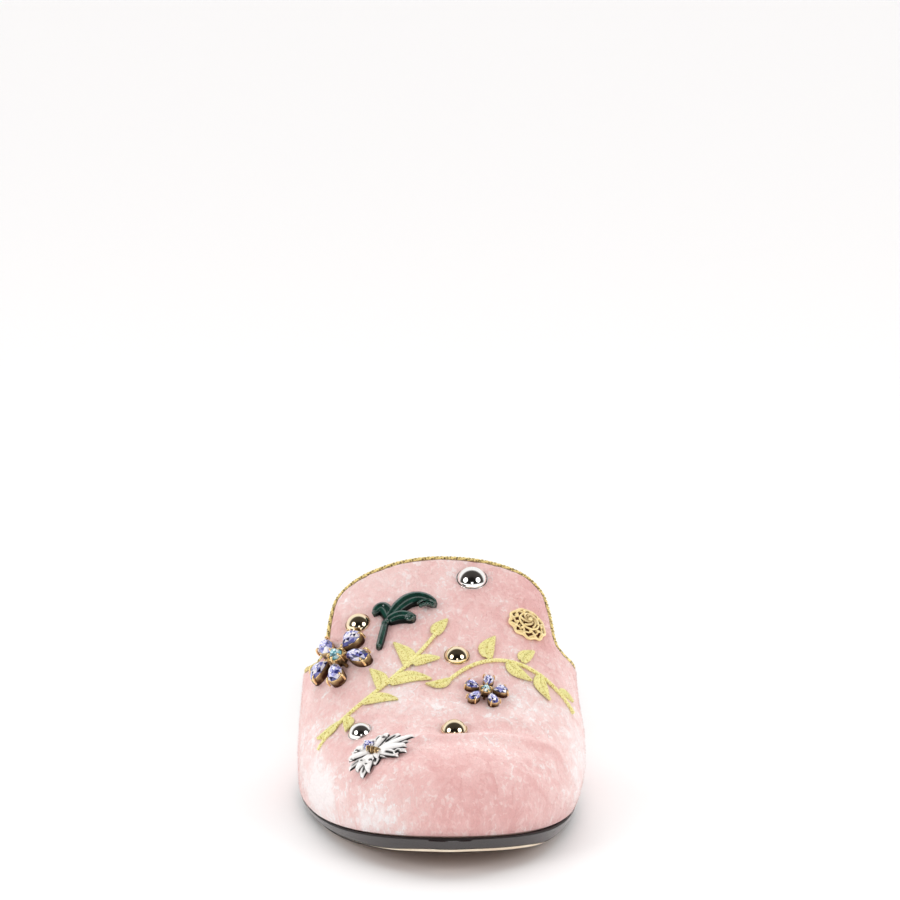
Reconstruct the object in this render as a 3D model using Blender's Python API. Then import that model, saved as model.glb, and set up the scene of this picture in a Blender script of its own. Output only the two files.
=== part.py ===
"""Velvet mule for the right foot: hollow vamp, corded topline, jewelled ornaments, leather sole and low heel.

Metres, +Z up. The toe points to -Y, the inner side of the foot is +X, and the sole stands on z = 0.
"""
import math
from collections import namedtuple

import bmesh
import bpy
from mathutils import Vector

for leftover in list(bpy.data.objects):
    bpy.data.objects.remove(leftover, do_unlink=True)

MM = 0.001

# Driving sizes of the shoe
LENGTH = 250 * MM          # outsole, toe tip to heel back
WALL = 2.0 * MM            # velvet, backing and lining of the upper
GAP = 0.3 * MM             # clearance where two pieces meet
SOLE_THICKNESS = 4.0 * MM
TOE_SPRING = 7.0 * MM      # underside of the toe tip over the floor
FLAT_FRONT = 64 * MM       # the forefoot lies on the floor between these two stations
FLAT_BACK = 102 * MM
HEEL_HEIGHT = 11 * MM
HEEL_BREAST = 190 * MM     # front face of the heel, behind the toe tip
INSOLE_THICKNESS = 2.4 * MM
CORD_RADIUS = 1.15 * MM    # gold cord along the topline
TOE_TIP_X = 2.0 * MM       # the toe tip swings towards the inner side
MIDDLE_X = -0.25 * MM      # middle of the widest part, from the line that the half widths are measured from
TOE_RISE = 24 * MM         # depth over which the front of the toe rounds up to its crown
TOE_RISE_POWER = 2.3
HEEL_REACH = 30 * MM       # depth over which the heel end rounds in
HEEL_POWER = 2.2
POLE = 46 * MM             # the ribs of the toe fan about this station of the crown line
TUCK_POWER = 7             # how fast the wall tucks under to the feather line

# Plan of the last, mm behind the toe tip: half widths at the feather line, and the wall's swell past them
PlanRow = namedtuple("PlanRow", "back lateral medial lateral_swell medial_swell")
PLAN = (
    PlanRow(0, 43.0, 41.0, 0.8, 0.8),
    PlanRow(46, 43.4, 41.4, 1.8, 3.6),
    PlanRow(70, 44.0, 41.8, 0.9, 3.7),
    PlanRow(90, 43.4, 41.2, 0.9, 2.9),
    PlanRow(110, 40.0, 38.4, 3.4, 4.8),
    PlanRow(135, 34.8, 32.8, 4.6, 5.4),
    PlanRow(160, 30.6, 28.8, 2.6, 3.4),
    PlanRow(190, 28.6, 28.2, 1.0, 1.0),
    PlanRow(250, 28.8, 28.6, 1.0, 1.0),
)

# Crown line of the upper, mm: height over the floor, and how full the section under it is (2 is an ellipse)
CrownRow = namedtuple("CrownRow", "back height fullness")
CROWN = (
    CrownRow(0, 30.4, 2.5),
    CrownRow(24, 31.2, 2.55),
    CrownRow(36, 32.4, 2.6),
    CrownRow(50, 36.4, 2.65),
    CrownRow(80, 50.6, 3.0),
    CrownRow(100, 61.4, 3.6),
    CrownRow(117, 70.4, 3.5),
    CrownRow(135, 78.0, 3.5),
    CrownRow(170, 84.0, 3.5),
)

# Topline: how far back the upper runs at each level around the section, from the sole (0) to the crown (1)
ToplineRow = namedtuple("ToplineRow", "around lateral medial")
TOPLINE = (
    ToplineRow(0.00, 156, 156),
    ToplineRow(0.10, 137, 137),
    ToplineRow(0.20, 117, 117),
    ToplineRow(0.28, 106, 106),
    ToplineRow(0.36, 97.5, 98.5),
    ToplineRow(0.43, 92, 94),
    ToplineRow(0.50, 88, 90.5),
    ToplineRow(0.57, 85.5, 88.5),
    ToplineRow(0.62, 85.5, 88.2),
    ToplineRow(0.66, 88.5, 90.5),
    ToplineRow(0.69, 95.5, 96.5),
    ToplineRow(0.73, 103, 105),
    ToplineRow(0.80, 105.5, 108),
    ToplineRow(0.90, 108, 109.5),
    ToplineRow(1.00, 111.5, 111.5),
)
AROUND_POWER = 1.5         # levels crowd towards the sole, where the wall is steep

# Ornaments on the vamp, placed in the plan: mm from the line of the half widths, and mm behind the toe tip
StudRow = namedtuple("StudRow", "name x back radius metal")
STUDS = (
    StudRow("stud_silver_throat", 9.9, 102.7, 5.0, "silver"),
    StudRow("stud_gold_collar", -25.8, 89.0, 4.0, "gold"),
    StudRow("stud_gold_vamp", 4.8, 71.7, 4.0, "gold"),
    StudRow("stud_gold_toe", 3.6, 38.0, 4.0, "gold"),
    StudRow("stud_silver_toe", -24.8, 43.1, 3.75, "silver"),
)
STUD_SEGMENTS = 16

# Turned profiles as shares of the radius, from inside the underside round the edge to the top
ProfileRow = namedtuple("ProfileRow", "reach rise")
STUD_PROFILE = (
    ProfileRow(0.55, 0.00),
    ProfileRow(1.00, 0.00),
    ProfileRow(1.00, 0.12),
    ProfileRow(0.86, 0.16),
    ProfileRow(0.81, 0.42),
    ProfileRow(0.62, 0.68),
    ProfileRow(0.34, 0.81),
    ProfileRow(0.00, 0.86),
)
ROSETTE_PROFILE = (
    ProfileRow(0.50, 0.00),
    ProfileRow(1.00, 0.00),
    ProfileRow(1.00, 0.09),
    ProfileRow(0.72, 0.19),
    ProfileRow(0.34, 0.25),
    ProfileRow(0.00, 0.27),
)

# Jewelled flowers: turn of the first petal in degrees, and size against the large one
FlowerRow = namedtuple("FlowerRow", "name x back turn size")
FLOWERS = (
    FlowerRow("flower_large", -30.7, 76.4, 36, 1.0),
    FlowerRow("flower_small", 13.2, 56.7, 10, 0.64),
)
PETALS = 5
PETAL_REACH = 12.2 * MM    # centre of the large flower to the rim at a petal's tip
PETAL_WAIST = 3.2 * MM     # centre to the notch between two petals
PETAL_SPREAD = 27          # degrees from the middle of a petal to its root
PETAL_SHARES = (-1, -0.88, -0.64, -0.32, 0, 0.32, 0.64, 0.88, 1)
SETTING_SHARES = (0.35, 0.7)   # rings of the setting's underside and tray, as shares of its outline
RIM = 0.6 * MM             # wall of the setting around the stones
RIM_SPREAD = 3.5           # degrees that the wall takes on each side of a petal
RIM_HEIGHT = 2.4 * MM
TRAY_HEIGHT = 1.0 * MM
STONE_START = 3.7 * MM     # centre of the flower to the pointed end of a petal's stone
STONE_END = 11.2 * MM
STONE_HALF_WIDTH = 2.5 * MM
CENTRE_STONE = 2.2 * MM    # radius of the round stone in the middle
STONE_POINTS = 10
STONE_SHARP = 20           # degrees over which the edge between two facets stays sharp
STONE_MIDDLE = 0.6         # middle of a petal's stone, as a share of its length
PEAR_TAPER = 0.7           # how soon a petal's stone narrows to its point
PEAR_WIDEST = 0.807        # largest width of the pear formula, which the half width is measured by

# Cut of a stone from its underside to its table: share of its outline, and height over its underside
CutRow = namedtuple("CutRow", "share height")
STONE_CUT = (
    CutRow(0.70, 0.0),
    CutRow(1.00, 1.2),
    CutRow(0.94, 1.7),
    CutRow(0.52, 2.7),
)

# Pierced round ornament
ROSETTE_X = 26.7
ROSETTE_BACK = 88.6
ROSETTE_RADIUS = 6.5 * MM
ROSETTE_SCALLOPS = 8
ROSETTE_SCALLOP_DEPTH = 0.07
ROSETTE_SEGMENTS = 24
HoleRow = namedtuple("HoleRow", "count ring radius turn")
ROSETTE_HOLES = (
    HoleRow(8, 4.55, 0.85, 22.5),
    HoleRow(5, 2.15, 0.60, 0.0),
)
HOLE_SEGMENTS = 8

# Blades of the leaf sprig and of the winged brooch, mm from their seat: to the right (u) and up the vamp (v)
BladeRow = namedtuple("BladeRow", "name start_u start_v bend_u bend_v end_u end_v half_width blunt thickness")
SPRIG_X = -15.3
SPRIG_BACK = 86.6
SPRIG_BLADES = (
    BladeRow("stem", -4.3, -11.7, -2.9, -4.6, 1.2, 3.2, 1.05, 0.80, 1.7),
    BladeRow("curled_leaf", 1.3, 1.6, -0.8, 9.4, -5.2, 4.2, 1.70, 0.45, 1.9),
    BladeRow("arching_leaf", -0.2, 0.8, 8.0, 14.2, 14.8, 5.4, 2.00, 0.50, 2.1),
    BladeRow("low_leaf", -0.6, 0.0, 3.9, 2.8, 7.4, -1.6, 1.85, 0.60, 1.9),
)
BROOCH_X = -19.2
BROOCH_BACK = 25.8
BROOCH_BODY = BladeRow("body", -0.9, 2.6, 0.3, 0.0, 0.9, -3.4, 1.7, 0.55, 2.6)
WingRow = namedtuple("WingRow", "name angle length half_width")
BROOCH_WINGS = (
    WingRow("inner_plume_1", 59, 7.5, 1.50),
    WingRow("inner_plume_2", 31, 12.0, 2.00),
    WingRow("inner_plume_3", 3, 11.5, 2.00),
    WingRow("inner_plume_4", -24, 9.5, 1.90),
    WingRow("outer_plume_1", 155, 8.5, 1.80),
    WingRow("outer_plume_2", 186, 9.5, 1.90),
    WingRow("outer_plume_3", 217, 10.0, 2.00),
    WingRow("outer_plume_4", 248, 10.5, 2.00),
)
WING_BLUNT = 0.40
WING_THICKNESS = 1.6
BROOCH_STONE_U = -1.3
BROOCH_STONE_V = 5.1
BROOCH_STONE = 1.9 * MM    # radius of the stone at the head
BROOCH_STONE_RISE = 0.8    # its height against the stones of the large flower
BLADE_STATIONS = 7
BLADE_EDGE = 0.35          # height of a blade's edges, as a share of its thickness
BLADE_THIN = 0.4           # thickness of a blade where it has no width
BLADE_POWER = 0.8          # how full a blade is towards its ends
DRAPE_STEPS = 6
DRAPE_STEP = 0.05 * MM     # over which the slope along a seat's normal is taken

Side = namedtuple("Side", "sign width swell topline toe_reach toe_power")
LATERAL = Side(-1, "lateral", "lateral_swell", "lateral", 84 * MM, 2.0)
MEDIAL = Side(1, "medial", "medial_swell", "medial", 70 * MM, 2.1)

# Mesh density of the upper
LEVELS = 20
TOE_RIBS = 11
SIDE_RIBS = 13


def table_value(table, column, at):
    """One column of a table at a place between its rows, by a cubic that does not overshoot the rows."""
    places = [row[0] for row in table]
    values = [getattr(row, column) for row in table]
    if at <= places[0]:
        return values[0]
    if at >= places[-1]:
        return values[-1]
    slopes = [(values[i + 1] - values[i]) / (places[i + 1] - places[i]) for i in range(len(places) - 1)]

    def tangent(i):
        if i == 0:
            return slopes[0]
        if i == len(places) - 1:
            return slopes[-1]
        before, after = slopes[i - 1], slopes[i]
        return 0.0 if before * after <= 0 else 2 * before * after / (before + after)

    i = max(k for k in range(len(places) - 1) if places[k] <= at)
    span = places[i + 1] - places[i]
    t = (at - places[i]) / span
    return ((2 * t ** 3 - 3 * t ** 2 + 1) * values[i] + (t ** 3 - 2 * t ** 2 + t) * span * tangent(i)
            + (3 * t ** 2 - 2 * t ** 3) * values[i + 1] + (t ** 3 - t ** 2) * span * tangent(i + 1))


def rounding(distance, reach, power):
    """Growth of a round end, from 0 at its tip to 1 at its reach."""
    left = min(1.0, max(0.0, 1.0 - distance / reach))
    return (1.0 - left ** power) ** (1.0 / power)


def blend_step(at, start, end):
    """Smooth step from 0 at start to 1 at end."""
    t = min(1.0, max(0.0, (at - start) / (end - start)))
    return t * t * (3 - 2 * t)


def plan_edge(side, back, swelled):
    """x of one side of the last at a station: the feather line, or the widest line of the wall above it."""
    toe = rounding(back, side.toe_reach, side.toe_power)
    heel = rounding(LENGTH - back, HEEL_REACH, HEEL_POWER)
    width = table_value(PLAN, side.width, back / MM) * MM
    if swelled:
        width += table_value(PLAN, side.swell, back / MM) * MM
    return side.sign * width * toe * heel + TOE_TIP_X * (1 - toe)


def crown_x(back):
    """x of the crown line, midway between the widest lines."""
    return (plan_edge(LATERAL, back, True) + plan_edge(MEDIAL, back, True)) / 2


def sole_bottom(back):
    """Underside of the outsole: toe spring, flat forefoot, then the arch up to the heel."""
    if back < FLAT_FRONT:
        return TOE_SPRING * (1 - max(back, 0.0) / FLAT_FRONT) ** 2
    return HEEL_HEIGHT * blend_step(back, FLAT_BACK, HEEL_BREAST)


def sole_top(back):
    return sole_bottom(back) + SOLE_THICKNESS


def feather_height(back):
    """Lower edge of the upper, just clear of the outsole."""
    return sole_top(back) + GAP


def to_world(x, back, z):
    """Shoe axes to the part's frame, with the middle of its width and length at the origin."""
    return Vector((x - MIDDLE_X, back - LENGTH / 2, z))


# Upper

def upper_height(x, back):
    """Height of the upper over a place in the plan: the crown line, falling away to the feather line."""
    base = feather_height(back)
    fullness = table_value(CROWN, "fullness", back / MM)
    crown = table_value(CROWN, "height", back / MM) * MM
    middle = crown_x(back)
    side = LATERAL if x < middle else MEDIAL
    half_width = abs(plan_edge(side, back, True) - middle)
    across = min(1.0, abs(x - middle) / max(half_width, 1e-9))
    rise = rounding(back, TOE_RISE, TOE_RISE_POWER)
    return base + (crown - base) * rise * (1 - across ** fullness) ** (1 / fullness)


def level_angle(around):
    return math.pi / 2 * around ** AROUND_POWER


def side_point(side, around, share):
    """A point of the upper behind the pole, at a share of the way back to the topline."""
    back = POLE + (table_value(TOPLINE, side.topline, around) * MM - POLE) * share
    angle = level_angle(around)
    fullness = table_value(CROWN, "fullness", back / MM)
    middle = crown_x(back)
    across = math.cos(angle) ** (2 / fullness)
    tuck = table_value(PLAN, side.swell, back / MM) * MM * (1 - math.sin(angle)) ** TUCK_POWER
    x = middle + (plan_edge(side, back, True) - middle) * across - side.sign * tuck
    crown = table_value(CROWN, "height", back / MM) * MM
    base = feather_height(back)
    return to_world(x, back, base + (crown - base) * math.sin(angle) ** (2 / fullness))


def toe_point(side, around, turn):
    """A point of the toe, on a rib from the feather line to the pole. A turn of 0 is the toe tip."""
    edge_back = POLE * (1 - math.cos(turn))
    edge = Vector((plan_edge(side, edge_back, True), edge_back))
    pole = Vector((crown_x(POLE), POLE))
    angle = level_angle(around)
    fullness = table_value(CROWN, "fullness", edge_back / MM)
    place = pole + (edge - pole) * math.cos(angle) ** (2 / fullness)
    height = upper_height(place.x, place.y) if around > 0 else feather_height(edge_back)
    swell = table_value(PLAN, side.swell, edge_back / MM) * MM
    place -= (edge - pole).normalized() * swell * (1 - math.sin(angle)) ** TUCK_POWER
    return to_world(place.x, place.y, height)


def upper_ribs():
    """Ribs of the upper from the lateral topline round the toe to the medial topline."""
    levels = [i / LEVELS for i in range(LEVELS + 1)]
    ribs = []
    for side in (LATERAL, MEDIAL):
        half = []
        for i in range(1, TOE_RIBS + 1):
            turn = math.pi / 2 * i / TOE_RIBS
            half.append([toe_point(side, around, turn) for around in levels])
        for i in range(1, SIDE_RIBS + 1):
            half.append([side_point(side, around, i / SIDE_RIBS) for around in levels])
        ribs.append(half)
    tip = [toe_point(MEDIAL, around, 0.0) for around in levels]
    return ribs[0][::-1] + [tip] + ribs[1]


# Making objects

def material(name, colour, roughness, metallic):
    finish = bpy.data.materials.new(name)
    finish.use_nodes = True
    shader = finish.node_tree.nodes["Principled BSDF"]
    shader.inputs["Base Color"].default_value = (*colour, 1.0)
    shader.inputs["Roughness"].default_value = roughness
    shader.inputs["Metallic"].default_value = metallic
    return finish


def object_from_bmesh(bm, name, finish, smooth_angle=40):
    """Turn a bmesh into a named object with outward faces."""
    bmesh.ops.remove_doubles(bm, verts=bm.verts, dist=0.01 * MM)
    bmesh.ops.dissolve_degenerate(bm, edges=bm.edges, dist=0.005 * MM)
    bmesh.ops.recalc_face_normals(bm, faces=bm.faces)
    mesh = bpy.data.meshes.new(name)
    bm.to_mesh(mesh)
    bm.free()
    mesh.materials.append(finish)
    mesh.shade_smooth()
    mesh.set_sharp_from_angle(angle=math.radians(smooth_angle))
    piece = bpy.data.objects.new(name, mesh)
    bpy.context.collection.objects.link(piece)
    return piece


def bridge_rows(bm, rows, closed):
    """Quads between rows of vertices, each row closed on itself or open."""
    for lower, upper in zip(rows, rows[1:]):
        count = len(lower)
        for i in range(count if closed else count - 1):
            j = (i + 1) % count
            corners = []
            for vertex in (lower[i], lower[j], upper[j], upper[i]):
                if vertex not in corners:
                    corners.append(vertex)
            if len(corners) > 2:
                bm.faces.new(corners)


def loft(name, rings, finish, smooth_angle=40):
    """Closed solid through rings of points, capped at both ends."""
    bm = bmesh.new()
    rows = [[bm.verts.new(point) for point in ring] for ring in rings]
    bridge_rows(bm, rows, closed=True)
    bm.faces.new(rows[0][::-1])
    bm.faces.new(rows[-1])
    return object_from_bmesh(bm, name, finish, smooth_angle)


# Sole, heel and insole

def sole_stations(start, steps_toe=12, steps_side=16, steps_heel=9):
    """Stations from the toe tip, or from a cut across the sole, to the heel back, close at round ends."""
    toe_end, heel_start = POLE, LENGTH - HEEL_REACH
    stations = []
    if start == 0:
        stations += [toe_end * (1 - math.cos(math.pi / 2 * i / steps_toe)) for i in range(steps_toe)]
        straight = toe_end
    else:
        straight = start
        steps_side = 4
    stations += [straight + (heel_start - straight) * i / steps_side for i in range(steps_side)]
    turns = [math.pi / 2 * i / steps_heel for i in range(steps_heel + 1)]
    stations += [heel_start + HEEL_REACH * math.sin(turn) for turn in turns]
    return stations


def sole_loop(stations, margin):
    """Plan outline from the lateral front round the heel to the medial front, moved out by a margin."""
    lateral = [Vector((plan_edge(LATERAL, back, False), back)) for back in stations]
    medial = [Vector((plan_edge(MEDIAL, back, False), back)) for back in stations]
    loop = lateral + medial[-2::-1]
    if stations[0] == 0:
        loop.pop()
    moved = []
    for i, point in enumerate(loop):
        along = loop[(i + 1) % len(loop)] - loop[i - 1]
        outward = Vector((-along.y, along.x)).normalized()
        amount = margin(point.y) if callable(margin) else margin
        moved.append(point + outward * amount)
    return moved


def ladder(bm, row, stations):
    """Flat strips across a plan outline, station by station."""
    last = len(stations) - 1
    count = len(row)
    for i in range(last):
        lateral, medial = row[i], row[(2 * last - i) % count]
        next_lateral, next_medial = row[i + 1], row[2 * last - i - 1]
        corners = []
        for vertex in (lateral, next_lateral, next_medial, medial):
            if vertex not in corners:
                corners.append(vertex)
        bm.faces.new(corners)


def plate(name, stations, rings, finish):
    """Solid between plan outlines, given as (margin, height function) from its top to its underside."""
    bm = bmesh.new()
    rows = []
    for margin, height in rings:
        loop = sole_loop(stations, margin)
        rows.append([bm.verts.new(to_world(point.x, point.y, height(point.y))) for point in loop])
    bridge_rows(bm, rows, closed=True)
    ladder(bm, rows[0], stations)
    ladder(bm, rows[-1], stations)
    return object_from_bmesh(bm, name, finish, smooth_angle=30)


# Edge of the outsole from top to bottom: a painted band over a bare bevelled lip
EdgeRow = namedtuple("EdgeRow", "margin drop")
SOLE_EDGE = (
    EdgeRow(0.5, 0.0),
    EdgeRow(0.8, 0.4),
    EdgeRow(0.8, 2.9),
    EdgeRow(0.3, 3.2),
    EdgeRow(-0.1, 4.0),
)

# Edge of the heel from top to bottom: a stack that narrows, and the wearing piece under a fine step
HEEL_EDGE = (
    EdgeRow(0.6, 0.0),
    EdgeRow(0.1, 6.0),
    EdgeRow(-0.3, 6.4),
    EdgeRow(-0.5, 10.2),
    EdgeRow(-1.0, 10.7),
)


def make_outsole(finish):
    stations = sole_stations(0)
    rings = [(row.margin * MM, lambda back, drop=row.drop * MM: max(sole_top(back) - drop, 0.0))
             for row in SOLE_EDGE]
    return plate("outsole", stations, rings, finish)


def make_heel(finish):
    stations = sole_stations(HEEL_BREAST)
    top = HEEL_HEIGHT - GAP
    rings = [(row.margin * MM, lambda back, drop=row.drop * MM: max(top - drop, 0.0)) for row in HEEL_EDGE]
    return plate("heel", stations, rings, finish)


INSOLE_INSET = WALL + 0.9 * MM     # inside the wall of the upper
INSOLE_HEEL_MARGIN = -0.4 * MM     # nearly flush with the sole behind the upper
INSOLE_WIDENS = (161 * MM, 176 * MM)
INSOLE_ROUNDING = 0.7 * MM         # rounded upper edge


def make_insole(finish):
    stations = sole_stations(0, steps_side=26)

    def outline(extra):
        def margin(back):
            share = blend_step(back, *INSOLE_WIDENS)
            return -INSOLE_INSET + (INSOLE_HEEL_MARGIN + INSOLE_INSET) * share - extra
        return margin

    top = GAP + INSOLE_THICKNESS
    rings = [
        (outline(INSOLE_ROUNDING), lambda back: sole_top(back) + top),
        (outline(0.0), lambda back: sole_top(back) + top - INSOLE_ROUNDING),
        (outline(0.0), lambda back: sole_top(back) + GAP),
    ]
    return plate("insole", stations, rings, finish)


def make_upper(finish):
    bm = bmesh.new()
    rows = [[bm.verts.new(point) for point in rib] for rib in upper_ribs()]
    bridge_rows(bm, rows, closed=False)
    piece = object_from_bmesh(bm, "upper", finish, smooth_angle=60)
    if piece.data.polygons[0].normal.dot(piece.data.polygons[0].center - Vector((0, 0, 0.02))) < 0:
        piece.data.flip_normals()
    wall = piece.modifiers.new("wall", "SOLIDIFY")
    wall.thickness = WALL
    wall.offset = -1
    wall.use_even_offset = True
    wall.use_rim = True
    return piece


def make_piping(finish):
    """Cord that lies against the cut edge of the upper, all along the topline."""
    ribs = upper_ribs()
    first, second = ribs[0], ribs[1]
    last, before_last = ribs[-1], ribs[-2]
    edge = first + last[-2::-1]
    inner = second + before_last[-2::-1]
    path = []
    for i, point in enumerate(edge):
        along = edge[min(i + 1, len(edge) - 1)] - edge[max(i - 1, 0)]
        along.normalize()
        outward = point - inner[i]
        outward -= along * outward.dot(along)
        outward.normalize()
        across = along.cross(outward)
        inward = across if across.dot(to_world(crown_x(POLE), POLE * 2, 0) - point) > 0 else -across
        path.append(point + inward * WALL / 2 + outward * (CORD_RADIUS + GAP))
    lift = CORD_RADIUS + 2 * GAP
    path = [point for point in path if point.z > feather_height(point.y + LENGTH / 2) + lift]
    curve = bpy.data.curves.new("topline_piping", "CURVE")
    curve.dimensions = "3D"
    curve.bevel_depth = CORD_RADIUS
    curve.bevel_resolution = 2
    curve.use_fill_caps = True
    spline = curve.splines.new("POLY")
    spline.points.add(len(path) - 1)
    for spot, point in zip(spline.points, path):
        spot.co = (*point, 1.0)
    curve.materials.append(finish)
    piece = bpy.data.objects.new("topline_piping", curve)
    bpy.context.collection.objects.link(piece)
    return piece


# Ornaments

Seat = namedtuple("Seat", "origin right up out")


def seat_on_vamp(x, back):
    """A place on the upper, with axes to the right and up along its surface and out along its normal."""
    step = 0.2 * MM
    across = (upper_height(x + step, back) - upper_height(x - step, back)) / (2 * step)
    along = (upper_height(x, back + step) - upper_height(x, back - step)) / (2 * step)
    out = Vector((-across, -along, 1.0)).normalized()
    up = (Vector((0, 1, 0)) - out * out.y).normalized()
    return Seat(to_world(x, back, upper_height(x, back)), up.cross(out), up, out)


def height_over_upper(place):
    return place.z - upper_height(place.x + MIDDLE_X, place.y + LENGTH / 2)


def drape(seat, u, v, height):
    """A point at a height over the velvet, to the right (u) and up (v) of a seat."""
    start = seat.origin + seat.right * u + seat.up * v
    depth = 0.0
    for _ in range(DRAPE_STEPS):
        over = height_over_upper(start - seat.out * depth)
        deeper = height_over_upper(start - seat.out * (depth + DRAPE_STEP))
        depth += over * DRAPE_STEP / (over - deeper)
    return start + seat.out * (GAP + height - depth)


def draped_loft(name, seat, rings, finish, smooth_angle=40):
    """Closed solid through rings of (u, v, height) over the velvet, capped flat."""
    return loft(name, [[drape(seat, *spot) for spot in ring] for ring in rings], finish, smooth_angle)


def draped_turning(name, seat, rings, bottom, top, finish):
    """Closed solid through rings over the velvet, closed by fans to a middle point below and above."""
    bm = bmesh.new()
    rows = [[bm.verts.new(drape(seat, *spot)) for spot in ring] for ring in rings]
    bridge_rows(bm, rows, closed=True)
    for row, height in ((rows[0], bottom), (rows[-1], top)):
        middle = bm.verts.new(drape(seat, 0.0, 0.0, height))
        for i, vertex in enumerate(row):
            bm.faces.new((row[i - 1], vertex, middle))
    return object_from_bmesh(bm, name, finish)


def circle(radius, height, segments, lobes=0, depth=0.0):
    """Ring of spots about a seat, scalloped where it has lobes."""
    ring = []
    for i in range(segments):
        angle = 2 * math.pi * i / segments
        reach = radius * (1 - depth * (1 - math.cos(lobes * angle)) / 2)
        ring.append((reach * math.cos(angle), reach * math.sin(angle), height))
    return ring


def make_stud(row, finish):
    seat = seat_on_vamp(row.x * MM, row.back * MM)
    radius = row.radius * MM
    rings = [circle(radius * step.reach, radius * step.rise, STUD_SEGMENTS) for step in STUD_PROFILE[:-1]]
    return draped_turning(row.name, seat, rings, 0.0, radius * STUD_PROFILE[-1].rise, finish)


def petal_ring(flower, reach, waist, spread, height):
    """Five-lobed outline of a setting at one height."""
    ring = []
    for petal in range(PETALS):
        middle = math.radians(flower.turn) + 2 * math.pi * petal / PETALS
        for share in PETAL_SHARES:
            angle = middle + math.radians(spread) * share
            radius = (waist + (reach - waist) * math.sqrt(1 - abs(share) ** 3)) * flower.size
            ring.append((radius * math.cos(angle), radius * math.sin(angle), height * flower.size))
    return ring


def make_setting(flower, seat, finish):
    """Gold setting: a lobed cup with a wall around a sunken tray."""
    outer = (PETAL_REACH, PETAL_WAIST, PETAL_SPREAD)
    inner = (PETAL_REACH - RIM, PETAL_WAIST - RIM, PETAL_SPREAD - RIM_SPREAD)

    def ring(outline, share, height):
        reach, waist, spread = outline
        return petal_ring(flower, reach * share, waist * share, spread, height)

    rings = [ring(outer, share, 0.0) for share in SETTING_SHARES]
    rings += [ring(outer, 1.0, 0.0), ring(outer, 1.0, RIM_HEIGHT)]
    rings += [ring(inner, 1.0, RIM_HEIGHT), ring(inner, 1.0, TRAY_HEIGHT)]
    rings += [ring(inner, share, TRAY_HEIGHT) for share in SETTING_SHARES[::-1]]
    return draped_turning(flower.name + "_setting", seat, rings, 0.0, TRAY_HEIGHT * flower.size, finish)


def stone_rings(middle, outline, base, size):
    """Rings of a cut stone about its middle, from an outline of (u, v) and the height of its underside."""
    rings = []
    for cut in STONE_CUT:
        spots = [middle + (spot - middle) * cut.share for spot in outline]
        rings.append([(spot.x, spot.y, base + cut.height * MM * size) for spot in spots])
    return rings


def make_petal_stone(flower, seat, petal, finish):
    """Pear-shaped stone, pointed towards the middle of the flower."""
    angle = math.radians(flower.turn) + 2 * math.pi * petal / PETALS
    along = Vector((math.cos(angle), math.sin(angle)))
    across = Vector((-along.y, along.x))
    outline = []
    for i in range(STONE_POINTS):
        theta = 2 * math.pi * i / STONE_POINTS
        radius = STONE_START + (STONE_END - STONE_START) * (1 - math.cos(theta)) / 2
        width = STONE_HALF_WIDTH / PEAR_WIDEST * math.sin(theta) * math.sin(theta / 2) ** PEAR_TAPER
        outline.append((along * radius + across * width) * flower.size)
    middle = along * (STONE_START + (STONE_END - STONE_START) * STONE_MIDDLE) * flower.size
    name = f"{flower.name}_petal_{petal + 1}"
    rings = stone_rings(middle, outline, (TRAY_HEIGHT + GAP) * flower.size, flower.size)
    return draped_loft(name, seat, rings, finish, STONE_SHARP)


def make_round_stone(name, seat, middle, radius, base, size, finish):
    outline = [middle + Vector((u, v)) for u, v, _ in circle(radius, 0.0, STONE_POINTS)]
    return draped_loft(name, seat, stone_rings(middle, outline, base, size), finish, STONE_SHARP)


def make_flower(flower, metal, petal_stone, centre_stone):
    seat = seat_on_vamp(flower.x * MM, flower.back * MM)
    make_setting(flower, seat, metal)
    for petal in range(PETALS):
        make_petal_stone(flower, seat, petal, petal_stone)
    base = (TRAY_HEIGHT + GAP) * flower.size
    make_round_stone(flower.name + "_centre", seat, Vector((0.0, 0.0)), CENTRE_STONE * flower.size, base,
                     flower.size, centre_stone)


def make_rosette(finish):
    """Domed scalloped disc, pierced by rings of holes."""
    seat = seat_on_vamp(ROSETTE_X * MM, ROSETTE_BACK * MM)
    rings = [circle(ROSETTE_RADIUS * step.reach, ROSETTE_RADIUS * step.rise, ROSETTE_SEGMENTS,
                    ROSETTE_SCALLOPS, ROSETTE_SCALLOP_DEPTH) for step in ROSETTE_PROFILE[:-1]]
    top = ROSETTE_RADIUS * ROSETTE_PROFILE[-1].rise
    disc = draped_turning("filigree_rosette", seat, rings, 0.0, top, finish)
    bm = bmesh.new()
    for row in ROSETTE_HOLES:
        for i in range(row.count):
            angle = math.radians(row.turn) + 2 * math.pi * i / row.count
            u, v = row.ring * MM * math.cos(angle), row.ring * MM * math.sin(angle)
            rows = []
            for height in (-ROSETTE_RADIUS / 2, ROSETTE_RADIUS):
                hole = circle(row.radius * MM, height, HOLE_SEGMENTS)
                rows.append([bm.verts.new(drape(seat, u + spot[0], v + spot[1], spot[2])) for spot in hole])
            bridge_rows(bm, rows, closed=True)
            bm.faces.new(rows[0][::-1])
            bm.faces.new(rows[1])
    cutter = object_from_bmesh(bm, "rosette_piercing", finish)
    add_boolean(disc, cutter, "DIFFERENCE")
    return disc


def add_boolean(piece, helper, operation):
    helper.hide_render = True
    helper.display_type = "WIRE"
    cut = piece.modifiers.new(helper.name, "BOOLEAN")
    cut.operation = operation
    cut.solver = "EXACT"
    cut.use_self = operation == "UNION"
    cut.object = helper


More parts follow.
